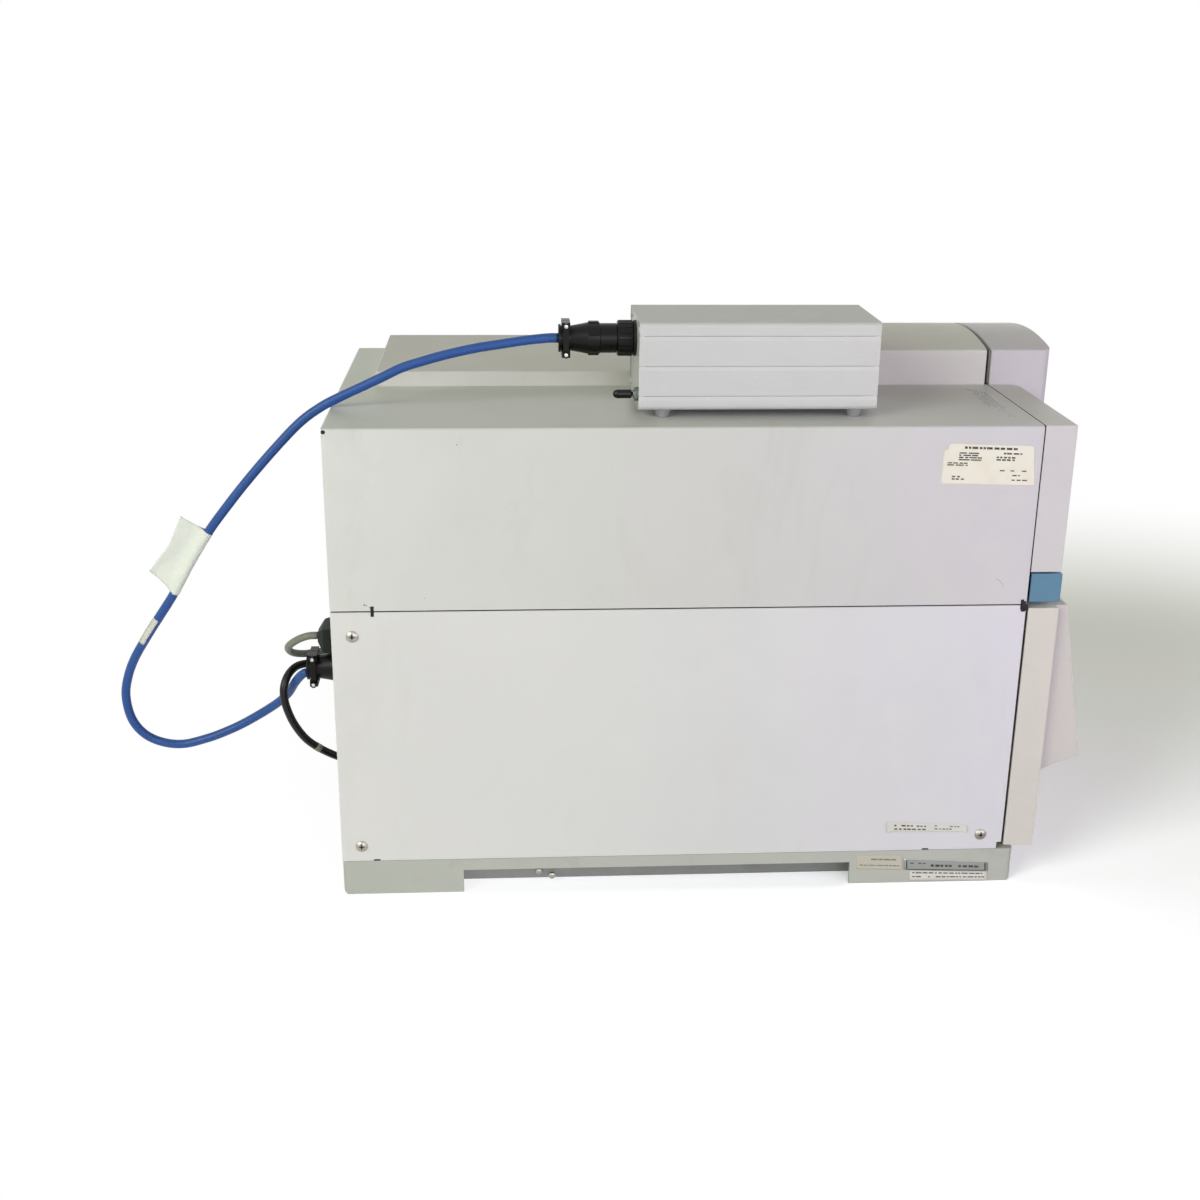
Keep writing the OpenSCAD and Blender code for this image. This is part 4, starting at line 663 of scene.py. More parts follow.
def controller_shell():
    width = SHELL_HIGH.y - SHELL_LOW.y
    height = SHELL_HIGH.z - SHELL_LOW.z
    near_side = [(inset, z) for inset, z in side_profile()]
    far_side = [(width - inset, z) for inset, z in reversed(side_profile())]
    # clockwise from the lower near corner, up the near side and over to the far side
    outline = list(reversed(corner_arc(SHELL_R, SHELL_R, 180))) + near_side
    outline += list(reversed(corner_arc(SHELL_R, height - SHELL_R, 90)))
    outline += list(reversed(corner_arc(width - SHELL_R, height - SHELL_R, 0))) + far_side
    outline += list(reversed(corner_arc(width - SHELL_R, SHELL_R, 270)))
    inner = [(SHELL_WALL, SHELL_WALL), (SHELL_WALL, height - SHELL_WALL),
             (width - SHELL_WALL, height - SHELL_WALL), (width - SHELL_WALL, SHELL_WALL)]
    bm = bmesh.new()

    def ring_of(points, x):
        return [bm.verts.new(at(x, SHELL_LOW.y + y, SHELL_LOW.z + z)) for y, z in points]

    def join(low, high):
        for k in range(len(low)):
            j = (k + 1) % len(low)
            bm.faces.new((low[k], low[j], high[j], high[k]))

    lip = [(width / 2 + (y - width / 2) * (1 - 2 * LIP_T / width),
            height / 2 + (z - height / 2) * (1 - 2 * LIP_T / height)) for y, z in outline]
    ends = []
    for x, beyond in ((SHELL_LOW.x, SHELL_LOW.x - LIP), (SHELL_HIGH.x, SHELL_HIGH.x + LIP)):
        outer_ring, lip_ring, base, inner_ring = (ring_of(outline, beyond), ring_of(lip, beyond),
                                                  ring_of(lip, x),
                                                  ring_of(inner, x))
        join(outer_ring, lip_ring)
        join(lip_ring, base)
        edges = [bm.edges.get((ring[k], ring[(k + 1) % len(ring)])) or
                 bm.edges.new((ring[k], ring[(k + 1) % len(ring)])) for ring in (base, inner_ring)
                 for k in range(len(ring))]
        bmesh.ops.triangle_fill(bm, edges=edges, use_beauty=True)
        ends.append((outer_ring, inner_ring))
    join(ends[0][0], ends[1][0])
    join(ends[0][1], ends[1][1])
    bmesh.ops.recalc_face_normals(bm, faces=bm.faces)
    obj = publish(bm, "controller_shell_skin", [EXTRUSION], smooth=False)
    add(obj, "mainframe")
    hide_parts("controller_shell")
    return obj


controller_shell()

# ---- labels and plates, all bare or with plain ruled strokes ----
OUT = 0.15


def sticker(name, corners, outward, finishes, cells=(28, 12), ragged=0.0, lift=None, thick=0.1,
            strokes=(), seed=1, stand=0.05, corner=0.8, torn_side=None):
    """A thin label between four corners (upper rear, upper front, lower front, lower rear).

    ragged is how far its edge is torn, in millimetres; lift(u, v) is how far it stands off;
    corner rounds its corners; torn_side(v) is how much is missing at its rear edge;
    strokes are (u0, u1, v0, v1) patches of ink."""
    a, b, c, d = (at(*p) for p in corners)
    outward = Vector(outward).normalized()
    rng = random.Random(seed)
    offset = rng.uniform(0, 50)
    middle = (a + b + c + d) / 4

    label_w, label_h = (b - a).length / MM, (d - a).length / MM

    def round_off(u, v):
        """Pulls a point outside the rounded corner onto its arc."""
        x, y = min(u, 1 - u) * label_w, min(v, 1 - v) * label_h
        if x < corner and y < corner:
            reach = math.hypot(corner - x, corner - y)
            if reach > corner:
                x, y = (corner - (corner - q) * corner / reach for q in (x, y))
        return (x / label_w if u < 0.5 else 1 - x / label_w), (y / label_h if v < 0.5 else 1 - y / label_h)

    def place(u, v, up=0.0):
        u, v = round_off(u, v)
        if torn_side:
            missing = torn_side(v) / label_w
            u = missing + u * (1 - missing)
        p = (a * (1 - u) + b * u) * (1 - v) + (d * (1 - u) + c * u) * v
        rim = min(u, 1 - u, v, 1 - v)
        if ragged and rim < 0.001:
            pull = ragged * (0.35 + abs(noise.noise(Vector((u * 9 + offset, v * 9, 0)))) * 1.6)
            p = p + (middle - p).normalized() * pull * MM
        stands = stand + up + (lift(u, v) if lift else 0.0)
        return p + outward * stands * MM

    bm = bmesh.new()
    nu, nv = cells
    grid = [[bm.verts.new(place(i / nu, j / nv, thick)) for i in range(nu + 1)] for j in range(nv + 1)]
    back = [[bm.verts.new(place(i / nu, j / nv)) for i in range(nu + 1)] for j in range(nv + 1)]
    for j in range(nv):
        for i in range(nu):
            bm.faces.new((grid[j][i], grid[j][i + 1], grid[j + 1][i + 1], grid[j + 1][i]))
            bm.faces.new((back[j][i], back[j + 1][i], back[j + 1][i + 1], back[j][i + 1]))
    rim = ([(0, i) for i in range(nu)] + [(j, nu) for j in range(nv)] + [(nv, i) for i in range(nu, 0, -1)]
           + [(j, 0) for j in range(nv, 0, -1)])
    for (j0, i0), (j1, i1) in zip(rim, rim[1:] + rim[:1]):
        bm.faces.new((grid[j0][i0], grid[j1][i1], back[j1][i1], back[j0][i0]))
    for u0, u1, v0, v1 in strokes:
        parts = max(1, round((u1 - u0) * nu))
        low = [bm.verts.new(place(u0 + (u1 - u0) * k / parts, v0, thick + 0.02)) for k in range(parts + 1)]
        high = [bm.verts.new(place(u0 + (u1 - u0) * k / parts, v1, thick + 0.02)) for k in range(parts + 1)]
        for k in range(parts):
            bm.faces.new((low[k], low[k + 1], high[k + 1], high[k])).material_index = 1
    bmesh.ops.recalc_face_normals(bm, faces=bm.faces)
    return add(publish(bm, name, finishes), "mainframe")


def ruled(rows, u0, u1, v0, pitch, height, seed, gap=0.5, longest=0.09, shortest=0.02):
    """Rows of short strokes, such as a worn print leaves, that say nothing."""
    rng = random.Random(seed)
    out = []
    for row in range(rows):
        u = u0
        while u < u1 - shortest:
            run = min(rng.uniform(shortest, longest), u1 - u)
            if rng.random() > gap * 0.4:
                v = v0 + row * pitch
                out.append((u, u + run, v, v + height))
            u += run + rng.uniform(0.008, 0.022)
    return out


UPPER_LABEL = [(433.7, 0, 350.0), (499.0, 0, 347.5), (502.1, 0, 318.3), (433.4, 0, 320.2)]
TORN_V = 0.17
torn = lambda v: 3.4 + 0.8 * noise.noise(Vector((v * 30, 1.0, 0.0))) if v < TORN_V else (
    0.5 + 0.5 * noise.noise(Vector((v * 12, 4.0, 0.0))))
crumple = lambda u, v: max(0.0, 1 - math.hypot((u - 0.07) * 2.2, v - 0.16) / 0.30)
worn = lambda u, v: 0.16 * max(0.0, noise.noise(Vector((u * 6, v * 3, 2.0)))) + crumple(u, v) * (
    0.35 + 0.9 * abs(noise.noise(Vector((u * 26, v * 7, 5.0)))))
sticker("upper_label", UPPER_LABEL, (0, -1, 0), [LABEL, DARK_INK], (64, 28), 0.25, worn,
        strokes=ruled(1, 0.19, 0.80, 0.065, 0.1, 0.055, 4, 0.1, 0.07) + ruled(4, 0.17, 0.42, 0.21,
                                                                              0.055, 0.032, 5, 0.1, 0.12)
        + ruled(1, 0.58, 0.86, 0.19, 0.1, 0.04, 15, 0.1, 0.06) + ruled(2, 0.58, 0.80, 0.29, 0.06, 0.04,
                                                                       18, 0.1, 0.05)
        + ruled(2, 0.05, 0.27, 0.46, 0.05, 0.03, 16, 0.1, 0.09)
        + ruled(2, 0.11, 0.24, 0.79, 0.06, 0.035, 17, 0.3, 0.05) + ruled(3, 0.62, 0.92, 0.62, 0.115,
                                                                         0.03, 6, 1.0, 0.06),
        seed=3, corner=2.2, torn_side=torn)

LOWER_LABEL = [(413.7, 0, 53.7), (477.0, 0, 48.9), (477.6, 0, 42.9), (414.4, 0, 44.2)]
peeling = lambda u, v: (1.6 * max(0.0, (0.12 - u) / 0.12) ** 2 + 1.2 * max(0.0, (u - 0.93) / 0.07) ** 2
                        + 0.35 * max(0.0, noise.noise(Vector((u * 14, v * 2, 7.0)))))
sticker("lower_label", LOWER_LABEL, (0, -1, 0), [WHITE_LABEL, DARK_INK], (48, 6), 0.35,
        peeling,
        strokes=ruled(2, 0.10, 0.52, 0.30, 0.34, 0.14, 8, 0.3, 0.05) + ruled(2, 0.60, 0.94, 0.22, 0.34,
                                                                             0.12, 9, 0.3, 0.04),
        seed=5)

sticker("tray_label_rear", [(392.3, 0, 24.8), (429.1, 0, 23.1), (430.1, 0, 10.9), (393.1, 0, 12.6)],
        (0, -1, 0), [TRAY_LABEL, FADED], (16, 8),
        strokes=ruled(1, 0.32, 0.86, 0.22, 0.2, 0.11, 10, 0.1, 0.2, 0.06) + ruled(1, 0.08, 0.92, 0.66,
                                                                                  0.2, 0.09, 11, 0.2, 0.1),
        seed=7)
sticker("tray_plate", [(429.8, 0, 20.5), (496.5, 0, 16.4), (497.2, 0, 8.6), (430.4, 0, 11.0)],
        (0, -1, 0), [FOIL, DARK_INK], (16, 6),
        strokes=[(0.03, 0.97, 0.06, 0.10), (0.03, 0.97, 0.90, 0.94), (0.03, 0.045, 0.06, 0.94),
                 (0.955, 0.97, 0.06, 0.94)]
        + ruled(1, 0.08, 0.26, 0.30, 0.2, 0.10, 12, 0.1, 0.06) + ruled(1, 0.32, 0.90, 0.42, 0.2, 0.22,
                                                                       13, 0.1, 0.055, 0.03),
        seed=8)
sticker("tray_label_front", [(434.8, 0, 10.6), (496.4, 0, 8.3), (497.3, 0, 0.7), (435.5, 0, 1.9)],
        (0, -1, 0), [WHITE_LABEL, DARK_INK], (24, 4), 0.2, lambda u, v: 0.25 + 0.2 * u,
        strokes=ruled(2, 0.04, 0.96, 0.16, 0.40, 0.12, 14, 0.3, 0.08), seed=9)

# faint strokes of a worn print on the deck
DECK_PRINT = [(483.5, 127.7, DECK), (500.4, 131.2, DECK), (494.5, 24.4, DECK), (481.7, 18.3, DECK)]


def deck_print():
    """Five faint rows along the front edge, and a few larger worn marks nearer the front."""
    a, b, c, d = (at(*p) for p in DECK_PRINT)
    bm = bmesh.new()
    rng = random.Random(21)

    def mark(u, v, wide, run, lean=0.0):
        quad = [(u, v), (u + wide, v), (u + wide + lean, v + run), (u + lean, v + run)]
        bm.faces.new([bm.verts.new((a * (1 - s) + b * s) * (1 - t) + (d * (1 - s) + c * s) * t
                                   + Vector((0, 0, 0.02 * MM))) for s, t in quad])

    for row in range(5):
        u, v = 0.04 + row * 0.15, 0.02 + row * 0.035
        while v < 0.60 + 0.02 * row:
            run = rng.uniform(0.012, 0.035)
            if rng.random() > 0.12:
                mark(u, v, 0.045, run)
            v += run + rng.uniform(0.006, 0.012)
    for u, v, run in ((0.76, 0.62, 0.07), (0.52, 0.70, 0.04), (0.60, 0.76, 0.03), (0.36, 0.72, 0.03),
                      (0.70, 0.84, 0.05), (0.50, 0.90, 0.04), (0.80, 0.93, 0.04)):
        mark(u, v, 0.03, run, rng.uniform(-0.12, 0.12))
    bmesh.ops.recalc_face_normals(bm, faces=bm.faces)
    add(publish(bm, "deck_print", [FADED]), "mainframe")


deck_print()

# ---- flag, sleeve and band on the cables ----
FLAG_EDGE = [(0.0, (-114.4, 279.7)), (0.5, (-124.8, 257.1)), (1.0, (-142.3, 235.3))]
FLAG_TOP, FLAG_FOOT = (-95.4, 266.2), (-125.7, 218.4)


def nearest(path, x, z):
    """Index of the path's point nearest to a place seen from the side."""
    target = at(x, 0, z)
    return min(range(len(path)), key=lambda i: (path[i].x - target.x) ** 2 + (path[i].z - target.z) ** 2)


def cable_flag():
    """A slip of paper folded round the cable, its two leaves stuck together."""
    first, last = nearest(blue_path, *FLAG_TOP), nearest(blue_path, *FLAG_FOOT)
    rows = 30
    radius = (BLUE_D / 2 + 0.15) * MM
    leaf, wrap = 16, 12
    bm = bmesh.new()
    grid = []
    for r in range(rows + 1):
        s = r / rows
        index = first + (last - first) * s
        i = int(index)
        centre = blue_path[i].lerp(blue_path[min(i + 1, len(blue_path) - 1)], index - i)
        tangent = (blue_path[min(i + 2, len(blue_path) - 1)] - blue_path[i - 2]).normalized()
        towards = Vector((0, -1, 0))
        towards = (towards - tangent * towards.dot(tangent)).normalized()
        left = tangent.cross(towards).normalized()
        if left.x > 0:
            left = -left
        (s0, p0), (s1, p1) = (FLAG_EDGE[0], FLAG_EDGE[1]) if s < 0.5 else (FLAG_EDGE[1], FLAG_EDGE[2])
        t = (s - s0) / (s1 - s0)
        edge = at(p0[0] * (1 - t) + p1[0] * t, 0, p0[1] * (1 - t) + p1[1] * t)
        edge.y = centre.y
        row = []
        for sheet in (1, -1):
            ts = range(leaf + 1) if sheet == 1 else range(leaf, -1, -1)
            points = []
            for k in ts:
                q = k / leaf
                base = edge.lerp(centre + left * radius * 0.2, q)
                swell = radius * max(0.0, (q - 0.62) / 0.38) ** 1.6 + 0.12 * MM
                crease = 1.3 * MM * (1 - q) * math.sin(3.5 * q + 2.4 * s + 0.8) \
                    + 0.7 * MM * (1 - q) * noise.noise(Vector((q * 5, s * 3, 1.0))) \
                    + 0.3 * MM * abs(noise.noise(Vector((q * 9 + s * 3, s * 2, 4.0))))
                bow = 1.0 * MM * (1 - q) * math.sin(math.pi * s)
                points.append(base + towards * (sheet * swell + crease + bow))
            if sheet == 1:
                row += points
                for k in range(1, wrap):
                    a = math.pi * k / wrap
                    row.append(centre + towards * radius * math.cos(a) - left * radius * math.sin(a))
            else:
                row += points
        grid.append([bm.verts.new(p) for p in row])
    for low, high in zip(grid, grid[1:]):
        for k in range(len(low) - 1):
            bm.faces.new((low[k], low[k + 1], high[k + 1], high[k]))
    bmesh.ops.recalc_face_normals(bm, faces=bm.faces)
    obj = publish(bm, "cable_flag", [FLAG])
    thickness = obj.modifiers.new("thickness", "SOLIDIFY")
    thickness.thickness = 0.12 * MM
    thickness.offset = 0.0
    return add(obj, "mainframe")


def sleeve(name, path, start, end, radius, angles, finish, strokes=None):
    """A patch of tape round part of a cable."""
    bm = bmesh.new()
    count = 10
    frames = carried_frames(path, (0, -1, 0))
    rows = []
    for i in range(start, end + 1):
        _, n, b = frames[i]
        rows.append([bm.verts.new(path[i] + radius * (math.cos(a) * n + math.sin(a) * b))
                     for a in (math.radians(angles[0] + (angles[1] - angles[0]) * k / count)
                               for k in range(count + 1))])
    for low, high in zip(rows, rows[1:]):
        for k in range(count):
            bm.faces.new((low[k], low[k + 1], high[k + 1], high[k]))
    if strokes:
        rng = random.Random(strokes)
        for i in range(start + 1, end):
            for half in (0.0, 0.5):
                base = path[i].lerp(path[i + 1], half)
                _, n, b = frames[i]
                a0 = math.radians(angles[0] + (angles[1] - angles[0]) * rng.uniform(0.35, 0.5))
                a1 = math.radians(angles[0] + (angles[1] - angles[0]) * rng.uniform(0.65, 0.85))
                along = (path[i + 1] - path[i]).normalized() * 0.7 * MM
                ring = [base + (radius + 0.03 * MM) * (math.cos(a) * n + math.sin(a) * b)
                        for a in (a0, (a0 + a1) / 2, a1)]
                low = [bm.verts.new(p) for p in ring]
                high = [bm.verts.new(p + along) for p in ring]
                for k in range(2):
                    bm.faces.new((low[k], low[k + 1], high[k + 1], high[k])).material_index = 1
    bmesh.ops.recalc_face_normals(bm, faces=bm.faces)
    obj = publish(bm, name, [finish, DARK_INK])
    thickness = obj.modifiers.new("thickness", "SOLIDIFY")
    thickness.thickness = 0.08 * MM
    thickness.offset = 1.0
    return add(obj, "mainframe")


cable_flag()
sleeve("cable_sleeve", blue_path, nearest(blue_path, -137.8, 196.4), nearest(blue_path, -151, 174),
       (BLUE_D / 2 + 0.06) * MM, (-20, 150), WHITE_LABEL, 31)
band = nearest(black_path, -23.8, 89.3)
sleeve("lead_band", black_path, band - 1, band + 1, (BLACK_D / 2 + 0.06) * MM, (0, 360), GREY)

# ---- small hardware ----
PLUG_AT = ((221.0, 68.0, 412.0), (30.0, 60.0, 163.0))
SADDLE_BACK = 50.7
SADDLE_SCREW = 10.2


def saddle_screws():
    """Slotted steel screws in the lugs of the two cable clamps."""
    bm = bmesh.new()
    for x, y, z in PLUG_AT:
        for side in (-1, 1):
            centre = at(x - SADDLE_BACK, y - 12.9, z + side * SADDLE_SCREW)
            turned(bm, [(0.9, 0), (0.9, 1.45), (0.35, 1.55), (0.0, 1.35), (-0.08, 1.0), (-0.08, 0)],
                   centre + Vector((0, -0.1 * MM, 0)), (0, 1, 0), 24)
    add(publish(bm, "saddle_screws", [BRIGHT]), "mainframe")


saddle_screws()


def screw_recess_shade():
    """Black crosses on the heads of the six cover screws: painted shade standing for their cross recesses."""
    heads = {}
    low, high = span("cover_screws")
    for v in NODES["cover_screws"].data.vertices:
        x, y, z = (v.co - Vector((CORNER.x, CORNER.y, TABLE))) / MM
        if y < -0.3 or y > BODY_W + 0.3:
            heads.setdefault((round(x / 40), y > 0, round(z / 40)), []).append((x, z))
    bm = bmesh.new()
    for (_, far, _), points in heads.items():
        x = (min(p[0] for p in points) + max(p[0] for p in points)) / 2
        z = (min(p[1] for p in points) + max(p[1] for p in points)) / 2
        depth = (high.y - 0.25, high.y + 0.004) if far else (low.y - 0.004, low.y + 0.25)
        box_in(bm, (x - 1.5, x + 1.5), depth, (z - 0.38, z + 0.38))
        box_in(bm, (x - 0.38, x + 0.38), depth, (z - 1.5, z - 0.38))
        box_in(bm, (x - 0.38, x + 0.38), depth, (z + 0.38, z + 1.5))
    add(publish(bm, "screw_recess_shade", [BLACK], smooth=False), "mainframe")


screw_recess_shade()

# clip at the seam's front end and the dark bumper at the deck's rear corner
bm = bmesh.new()
box_in(bm, (501.4, 504.6), (-0.55, 0.4), (223.2, 231.2))
box_in(bm, (504.0, 506.2), (-0.4, 3.5), (224.2, 228.6))
soften(bm, 0.25)
add(publish(bm, "seam_clip", [BLACK]), "mainframe")
bm = bmesh.new()
turned(bm, [(0.0, 0), (0.0, 1.5), (-0.35, 1.35), (-0.55, 0.8), (-0.6, 0)], at(1.6, -0.0, 359.6),
       (0, 1, 0), 20)
add(publish(bm, "corner_plug", [BLACK]), "mainframe")
# foam seals in the gaps between the covers, and between them and the front; black partly as painted shade that
# darkens the seams
SEAL_IN, SEAL_T = 0.7, 0.75
FRONT_GAP = (COVER_L, COVER_L + 1.0)
bm = bmesh.new()
for y in ((SEAL_IN, SEAL_IN + SEAL_T), (BODY_W - SEAL_IN - SEAL_T, BODY_W - SEAL_IN)):
    box_in(bm, (1.0, COVER_L - 0.6), y, (LOWER_TOP, UPPER_LOW.z))
    box_in(bm, FRONT_GAP, y, (UPPER_LOW.z + 25.0, DECK - SEAL_IN if y[0] < 5 else HUMP_LOW.z))
    box_in(bm, FRONT_GAP, y, (32.0, LOWER_TOP - 3.0))
box_in(bm, FRONT_GAP, (SEAL_IN + SEAL_T, HUMP_LOW.y - 1.0), (DECK - 1.0, DECK - 0.15))
add(publish(bm, "cover_seals", [SEAL_SHADE]), "mainframe")

# black tabs behind the notches in the seam and along the lower edge: painted shade that makes the notches dark
UNDER_COVER = span("lower_cover")[0].z
bm = bmesh.new()
for x in (30.0, COVER_L - 3.0):
    box_in(bm, (x - 1.2, x + 1.2), (0.12, 1.4), (LOWER_TOP - 3.4, UPPER_LOW.z + 3.4))
for x in (26.0, COVER_L - 59.0):
    box_in(bm, (x - 2.4, x + 2.4), (0.12, 1.4), (UNDER_COVER, UNDER_COVER + 3.0))
soften(bm, 0.2)
add(publish(bm, "notch_shade_tabs", [BLACK]), "mainframe")


def window_rim():
    """The inner rim that closes most of the gap between the two raised covers, dark grey in part as painted shade
    for the gap.
    """
    bm = bmesh.new()
    bm.from_mesh(NODES["window_cover"].data)
    rear = WINDOW_REAR * MM + CORNER.x
    bmesh.ops.delete(bm, geom=[f for f in bm.faces if f.normal.x > -0.99 or abs(f.calc_center_median().x - rear)
                               > 0.2 * MM], context="FACES")
    floor_z = TABLE + (DECK + 0.4) * MM
    bmesh.ops.bisect_plane(bm, geom=bm.verts[:] + bm.edges[:] + bm.faces[:], plane_co=(0, 0, floor_z),
                           plane_no=(0, 0, 1), clear_inner=True)
    for v in bm.verts:
        y = (v.co.y - CORNER.y) / MM
        v.co.y += RIM_IN * MM * (1 if y < (HUMP_LOW.y + BODY_W) / 2 else -1) * (abs(y - BODY_W / 2) > 0)
        if v.co.z > floor_z + 12 * MM:
            v.co.z -= RIM_IN * MM
    made = bmesh.ops.extrude_face_region(bm, geom=bm.faces[:])
    for v in (g for g in made["geom"] if isinstance(g, bmesh.types.BMVert)):
        v.co.x -= RIM_REACH * MM
    bmesh.ops.recalc_face_normals(bm, faces=bm.faces)
    soften(bm, 0.3)
    add(publish(bm, "window_rim", [RIM_SHADE]), "window_front")


RIM_IN, RIM_REACH = 0.9, 1.9
WINDOW_REAR = HUMP_HIGH.x + 3.7
window_rim()


# ---- rear fittings ----
PANEL = span("rear_panel")[0].x
REMOTE_AT, INLET_AT, OUTLET_AT, LAN_AT = (56.0, 292.0), (BODY_W - 50, 72.0), (BODY_W - 110,
                                                                              72.0), (104.0, 292.0)
OUTWARD = (-1, 0, 0)


def pan_head(bm, centre, axis, radius, height=2.0):
    """A pan head."""
    axis = Vector(axis).normalized()
    turned(bm, [(0, 0), (0, radius), (height * 0.5, radius * 0.98), (height * 0.85, radius * 0.7),
                (height, radius * 0.35), (height, 0)], centre, axis, 24)


def rear_screws():
    bm = bmesh.new()
    for y in (9.0, BODY_W - 9.0):
        for z in (44.0, 120.0, 200.0, 348.0):
            pan_head(bm, at(PANEL, y, z), OUTWARD, 2.9)
    for y in (100.0, 200.0):
        pan_head(bm, at(PANEL, y, 348.0), OUTWARD, 2.9)
    add(publish(bm, "rear_screws", [SCREW]), "mainframe")


def connector_pins():
    """Pins and jack posts of the free data socket, blades of the mains inlet, network contacts."""
    bm = bmesh.new()
    y, z = REMOTE_AT
    for row, count in ((1.4, 5), (-1.4, 4)):
        for k in range(count):
            turned(bm, [(0, 0), (0, 0.5), (4.2, 0.5), (4.7, 0.25), (4.7, 0)],
                   at(PANEL - 0.4, y + (k - (count - 1) / 2) * 2.76, z + row), OUTWARD, 12)
    for side in (-1, 1):
        turned(bm, [(0, 0), (0, 2.6), (5.0, 2.6), (5.0, 1.4), (3.2, 1.3), (3.2, 0)],
               at(PANEL - 1.0, y + side * 12.5, z), OUTWARD, 6)
    y, z = INLET_AT
    for dy, dz, tall in ((-7.0, -2.0, 4.0), (0.0, 2.5, 4.0), (7.0, -2.0, 4.0)):
        box_in(bm, (PANEL + 3.5, PANEL + 15.6), (y + dy - 1.0, y + dy + 1.0),
               (z + dz - tall / 2, z + dz + tall / 2))
    y, z = LAN_AT
    for k in range(8):
        box_in(bm, (PANEL + 3.0, PANEL + 11.0), (y + (k - 3.5) * 1.2 - 0.25, y + (k - 3.5) * 1.2 + 0.25),
               (z + 3.2, z + 3.9))
    add(publish(bm, "connector_pins", [BRIGHT]), "mainframe")


rear_screws()
connector_pins()


# small marks of use on the near covers: flakes near the rear clip and one long faint scratch
def wear_marks():
    bm = bmesh.new()
    rng = random.Random(11)
    for x, z, size in ((27.0, 357.6, 0.35), (24.6, 233.6, 0.9), (26.3, 233.2, 0.6), (28.6, 231.6, 0.7),
                       (67.4, 238.2, 0.5), (92.5, 350.5, 0.6)):
        ring = [at(x + size * rng.uniform(0.5, 1.2) * math.cos(a), -0.02,
                   z + size * rng.uniform(0.3, 0.9) * math.sin(a))
                for a in (2 * math.pi * k / 7 for k in range(7))]
        bm.faces.new([bm.verts.new(p) for p in ring])
    arc = [(479.5 + 8.0 * math.sin(a), 248.5 - 10.0 * (1 - math.cos(a))) for a in (0.1 + 0.14 * k for k in range(9))]
    for (x0, z0), (x1, z1) in zip(arc, arc[1:]):
        bm.faces.new([bm.verts.new(at(x, -0.02, z)) for x,
                      z in ((x0, z0), (x1, z1), (x1, z1 - 0.22), (x0, z0 - 0.22))])
    bmesh.ops.recalc_face_normals(bm, faces=bm.faces)
    add(publish(bm, "wear_marks", [SCUFF]), "mainframe")


wear_marks()
# screw ends under the tray
bm = bmesh.new()
for x, y, z in ((148.6, 20.3, 6.0), (158.5, 13.7, 6.0)):
    turned(bm, [(0, 0), (0, 2.4), (1.2, 2.9), (2.6, 2.5), (3.0, 1.6), (3.0, 0)], at(x, y - 3, z),
           (0, 1, 0), 20)
add(publish(bm, "pan_screw_ends", [SCREW]), "mainframe")


# ---- floor, light and background ----
FLOOR_SIZE = 30.0
FLOOR_FOR_CAMERA = (1.97, 2.03, 2.20, 1.0)
FADE_CENTRE = (0.45, 0.15, 0.0)
FADE_FROM, FADE_TO = 0.22, 0.85


def background_rays(tree):
    """1 for rays that should see the pale background, 0 for those that light the object."""
    path = tree.nodes.new("ShaderNodeLightPath")
    total = None
    for output in ("Is Camera Ray", "Is Glossy Ray", "Is Transmission Ray"):
        if total is None:
            total = path.outputs[output]
            continue
        larger = tree.nodes.new("ShaderNodeMath")
        larger.operation = "MAXIMUM"
        tree.links.new(total, larger.inputs[0])
        tree.links.new(path.outputs[output], larger.inputs[1])
        total = larger.outputs[0]
    return total, path.outputs["Is Camera Ray"]


def make_floor():
    bm = bmesh.new()
    bmesh.ops.create_grid(bm, x_segments=2, y_segments=2, size=FLOOR_SIZE / 2)
    material = bpy.data.materials.new("floor_paper")
    material.use_nodes = True
    tree = material.node_tree
    tree.nodes.clear()
    shown, camera_ray = background_rays(tree)
    tint = tree.nodes.new("ShaderNodeMix")
    tint.data_type = "RGBA"
    tint.inputs[6].default_value = (0.80, 0.80, 0.79, 1.0)
    tint.inputs[7].default_value = FLOOR_FOR_CAMERA
    tree.links.new(camera_ray, tint.inputs[0])
    diffuse = tree.nodes.new("ShaderNodeBsdfDiffuse")
    tree.links.new(tint.outputs[2], diffuse.inputs["Color"])
    # away from the object the camera sees plain white, so that the floor has no horizon
    coords = tree.nodes.new("ShaderNodeTexCoord")
    reach = tree.nodes.new("ShaderNodeVectorMath")
    reach.operation = "DISTANCE"
    reach.inputs[1].default_value = FADE_CENTRE
    tree.links.new(coords.outputs["Object"], reach.inputs[0])
    away = tree.nodes.new("ShaderNodeMapRange")
    away.interpolation_type = "SMOOTHSTEP"
    away.inputs["From Min"].default_value = FADE_FROM
    away.inputs["From Max"].default_value = FADE_TO
    tree.links.new(reach.outputs["Value"], away.inputs["Value"])
    seen = tree.nodes.new("ShaderNodeMath")
    seen.operation = "MULTIPLY"
    tree.links.new(away.outputs[0], seen.inputs[0])
    tree.links.new(shown, seen.inputs[1])
    white = tree.nodes.new("ShaderNodeEmission")
    either = tree.nodes.new("ShaderNodeMixShader")
    tree.links.new(seen.outputs[0], either.inputs[0])
    tree.links.new(diffuse.outputs[0], either.inputs[1])
    tree.links.new(white.outputs[0], either.inputs[2])
    output = tree.nodes.new("ShaderNodeOutputMaterial")
    tree.links.new(either.outputs[0], output.inputs["Surface"])
    floor = publish(bm, "floor", [material], smooth=False)
    floor.location.z = TABLE


make_floor()

HORIZON = (0.46, 0.46, 0.475)
ZENITH = (0.095, 0.099, 0.020)


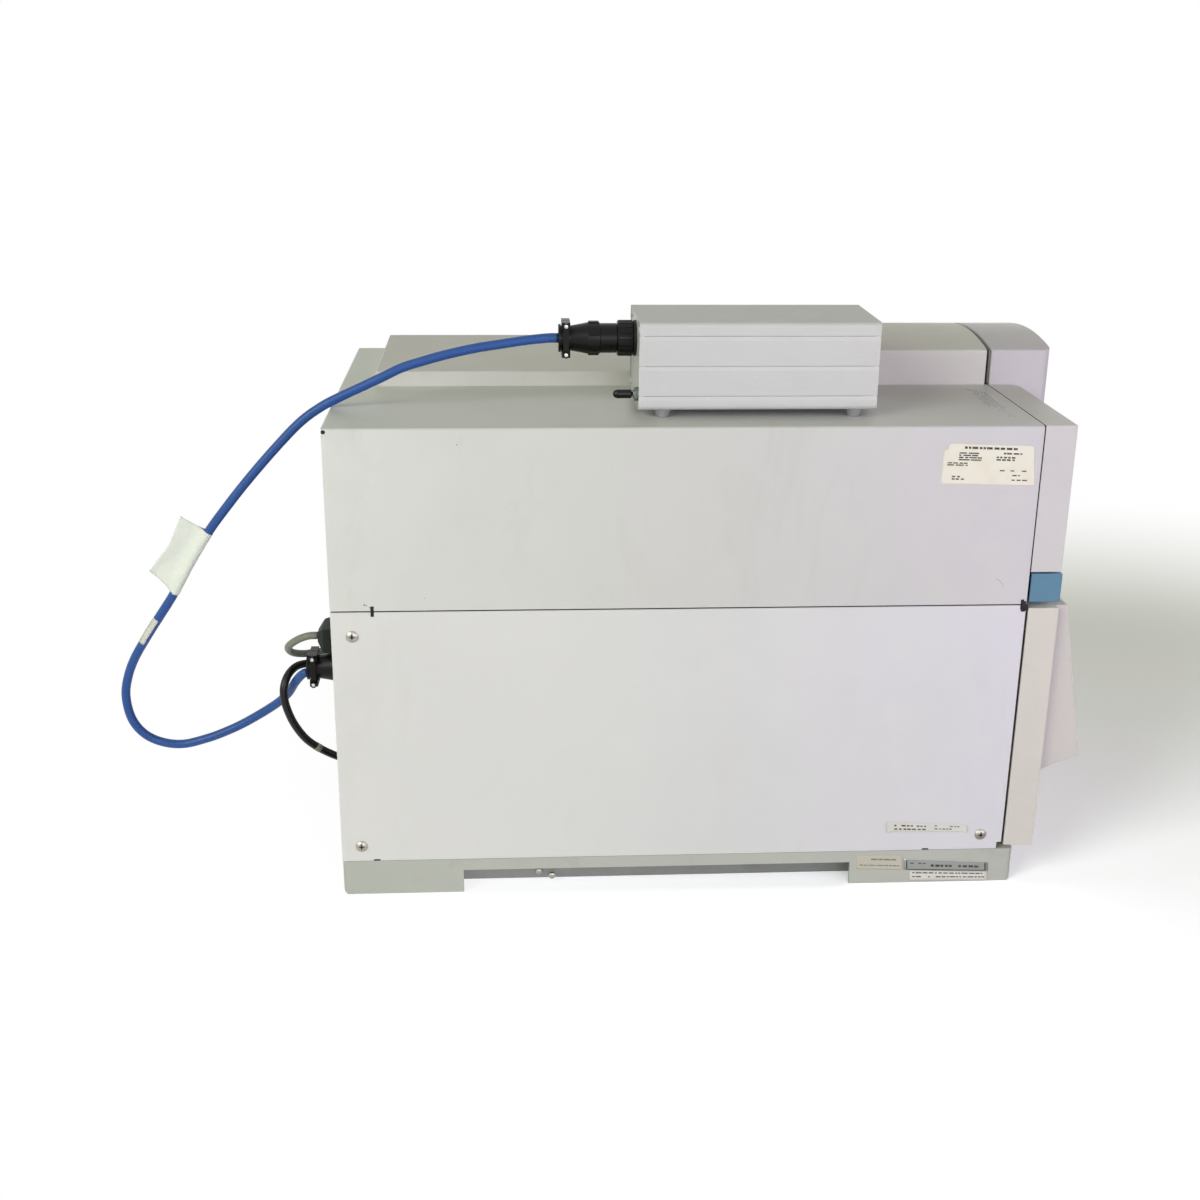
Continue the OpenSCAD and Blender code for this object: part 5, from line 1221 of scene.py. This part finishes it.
def make_world():
    world = bpy.data.worlds.new("studio")
    bpy.context.scene.world = world
    world.use_nodes = True
    tree = world.node_tree
    tree.nodes.clear()
    shown, _ = background_rays(tree)
    coords = tree.nodes.new("ShaderNodeTexCoord")
    parts = tree.nodes.new("ShaderNodeSeparateXYZ")
    tree.links.new(coords.outputs["Generated"], parts.inputs[0])
    height = tree.nodes.new("ShaderNodeMapRange")
    height.inputs["From Min"].default_value = 0.05
    height.inputs["From Max"].default_value = 0.75
    tree.links.new(parts.outputs["Z"], height.inputs["Value"])
    sky = tree.nodes.new("ShaderNodeMix")
    sky.data_type = "RGBA"
    sky.inputs[6].default_value = (*HORIZON, 1.0)
    sky.inputs[7].default_value = (*ZENITH, 1.0)
    tree.links.new(height.outputs[0], sky.inputs[0])
    choice = tree.nodes.new("ShaderNodeMix")
    choice.data_type = "RGBA"
    choice.inputs[7].default_value = (1.0, 1.0, 1.0, 1.0)
    tree.links.new(shown, choice.inputs[0])
    tree.links.new(sky.outputs[2], choice.inputs[6])
    back = tree.nodes.new("ShaderNodeBackground")
    tree.links.new(choice.outputs[2], back.inputs["Color"])
    output = tree.nodes.new("ShaderNodeOutputWorld")
    tree.links.new(back.outputs[0], output.inputs["Surface"])


make_world()


def lamp(name, place, target, size, power, colour):
    data = bpy.data.lights.new(name, "AREA")
    data.shape = "DISK"
    data.size = size
    data.energy = power
    data.color = colour
    obj = bpy.data.objects.new(name, data)
    obj.location = place
    obj.rotation_euler = (Vector(target) - Vector(place)).to_track_quat("-Z", "Y").to_euler()
    obj.visible_camera = False
    bpy.context.scene.collection.objects.link(obj)


lamp("key", (-2.4, -2.3, 1.85), (0.0, 0.0, 0.2), 2.2, 54.0, (0.965, 1.0, 0.88))
lamp("front", (0.55, -2.6, 0.85), (0.0, 0.0, 0.25), 1.4, 14.5, (0.96, 0.90, 1.0))
lamp("fill", (1.2, -1.1, 0.5), (0.2, 0.0, 0.2), 0.8, 3.6, (0.82, 0.66, 1.0))
lamp("back", (1.6, 2.4, 0.40), (0.1, 0.0, 0.2), 1.5, 9.0, (1.0, 0.98, 0.95))

view = bpy.context.scene.view_settings
view.view_transform = "Standard"
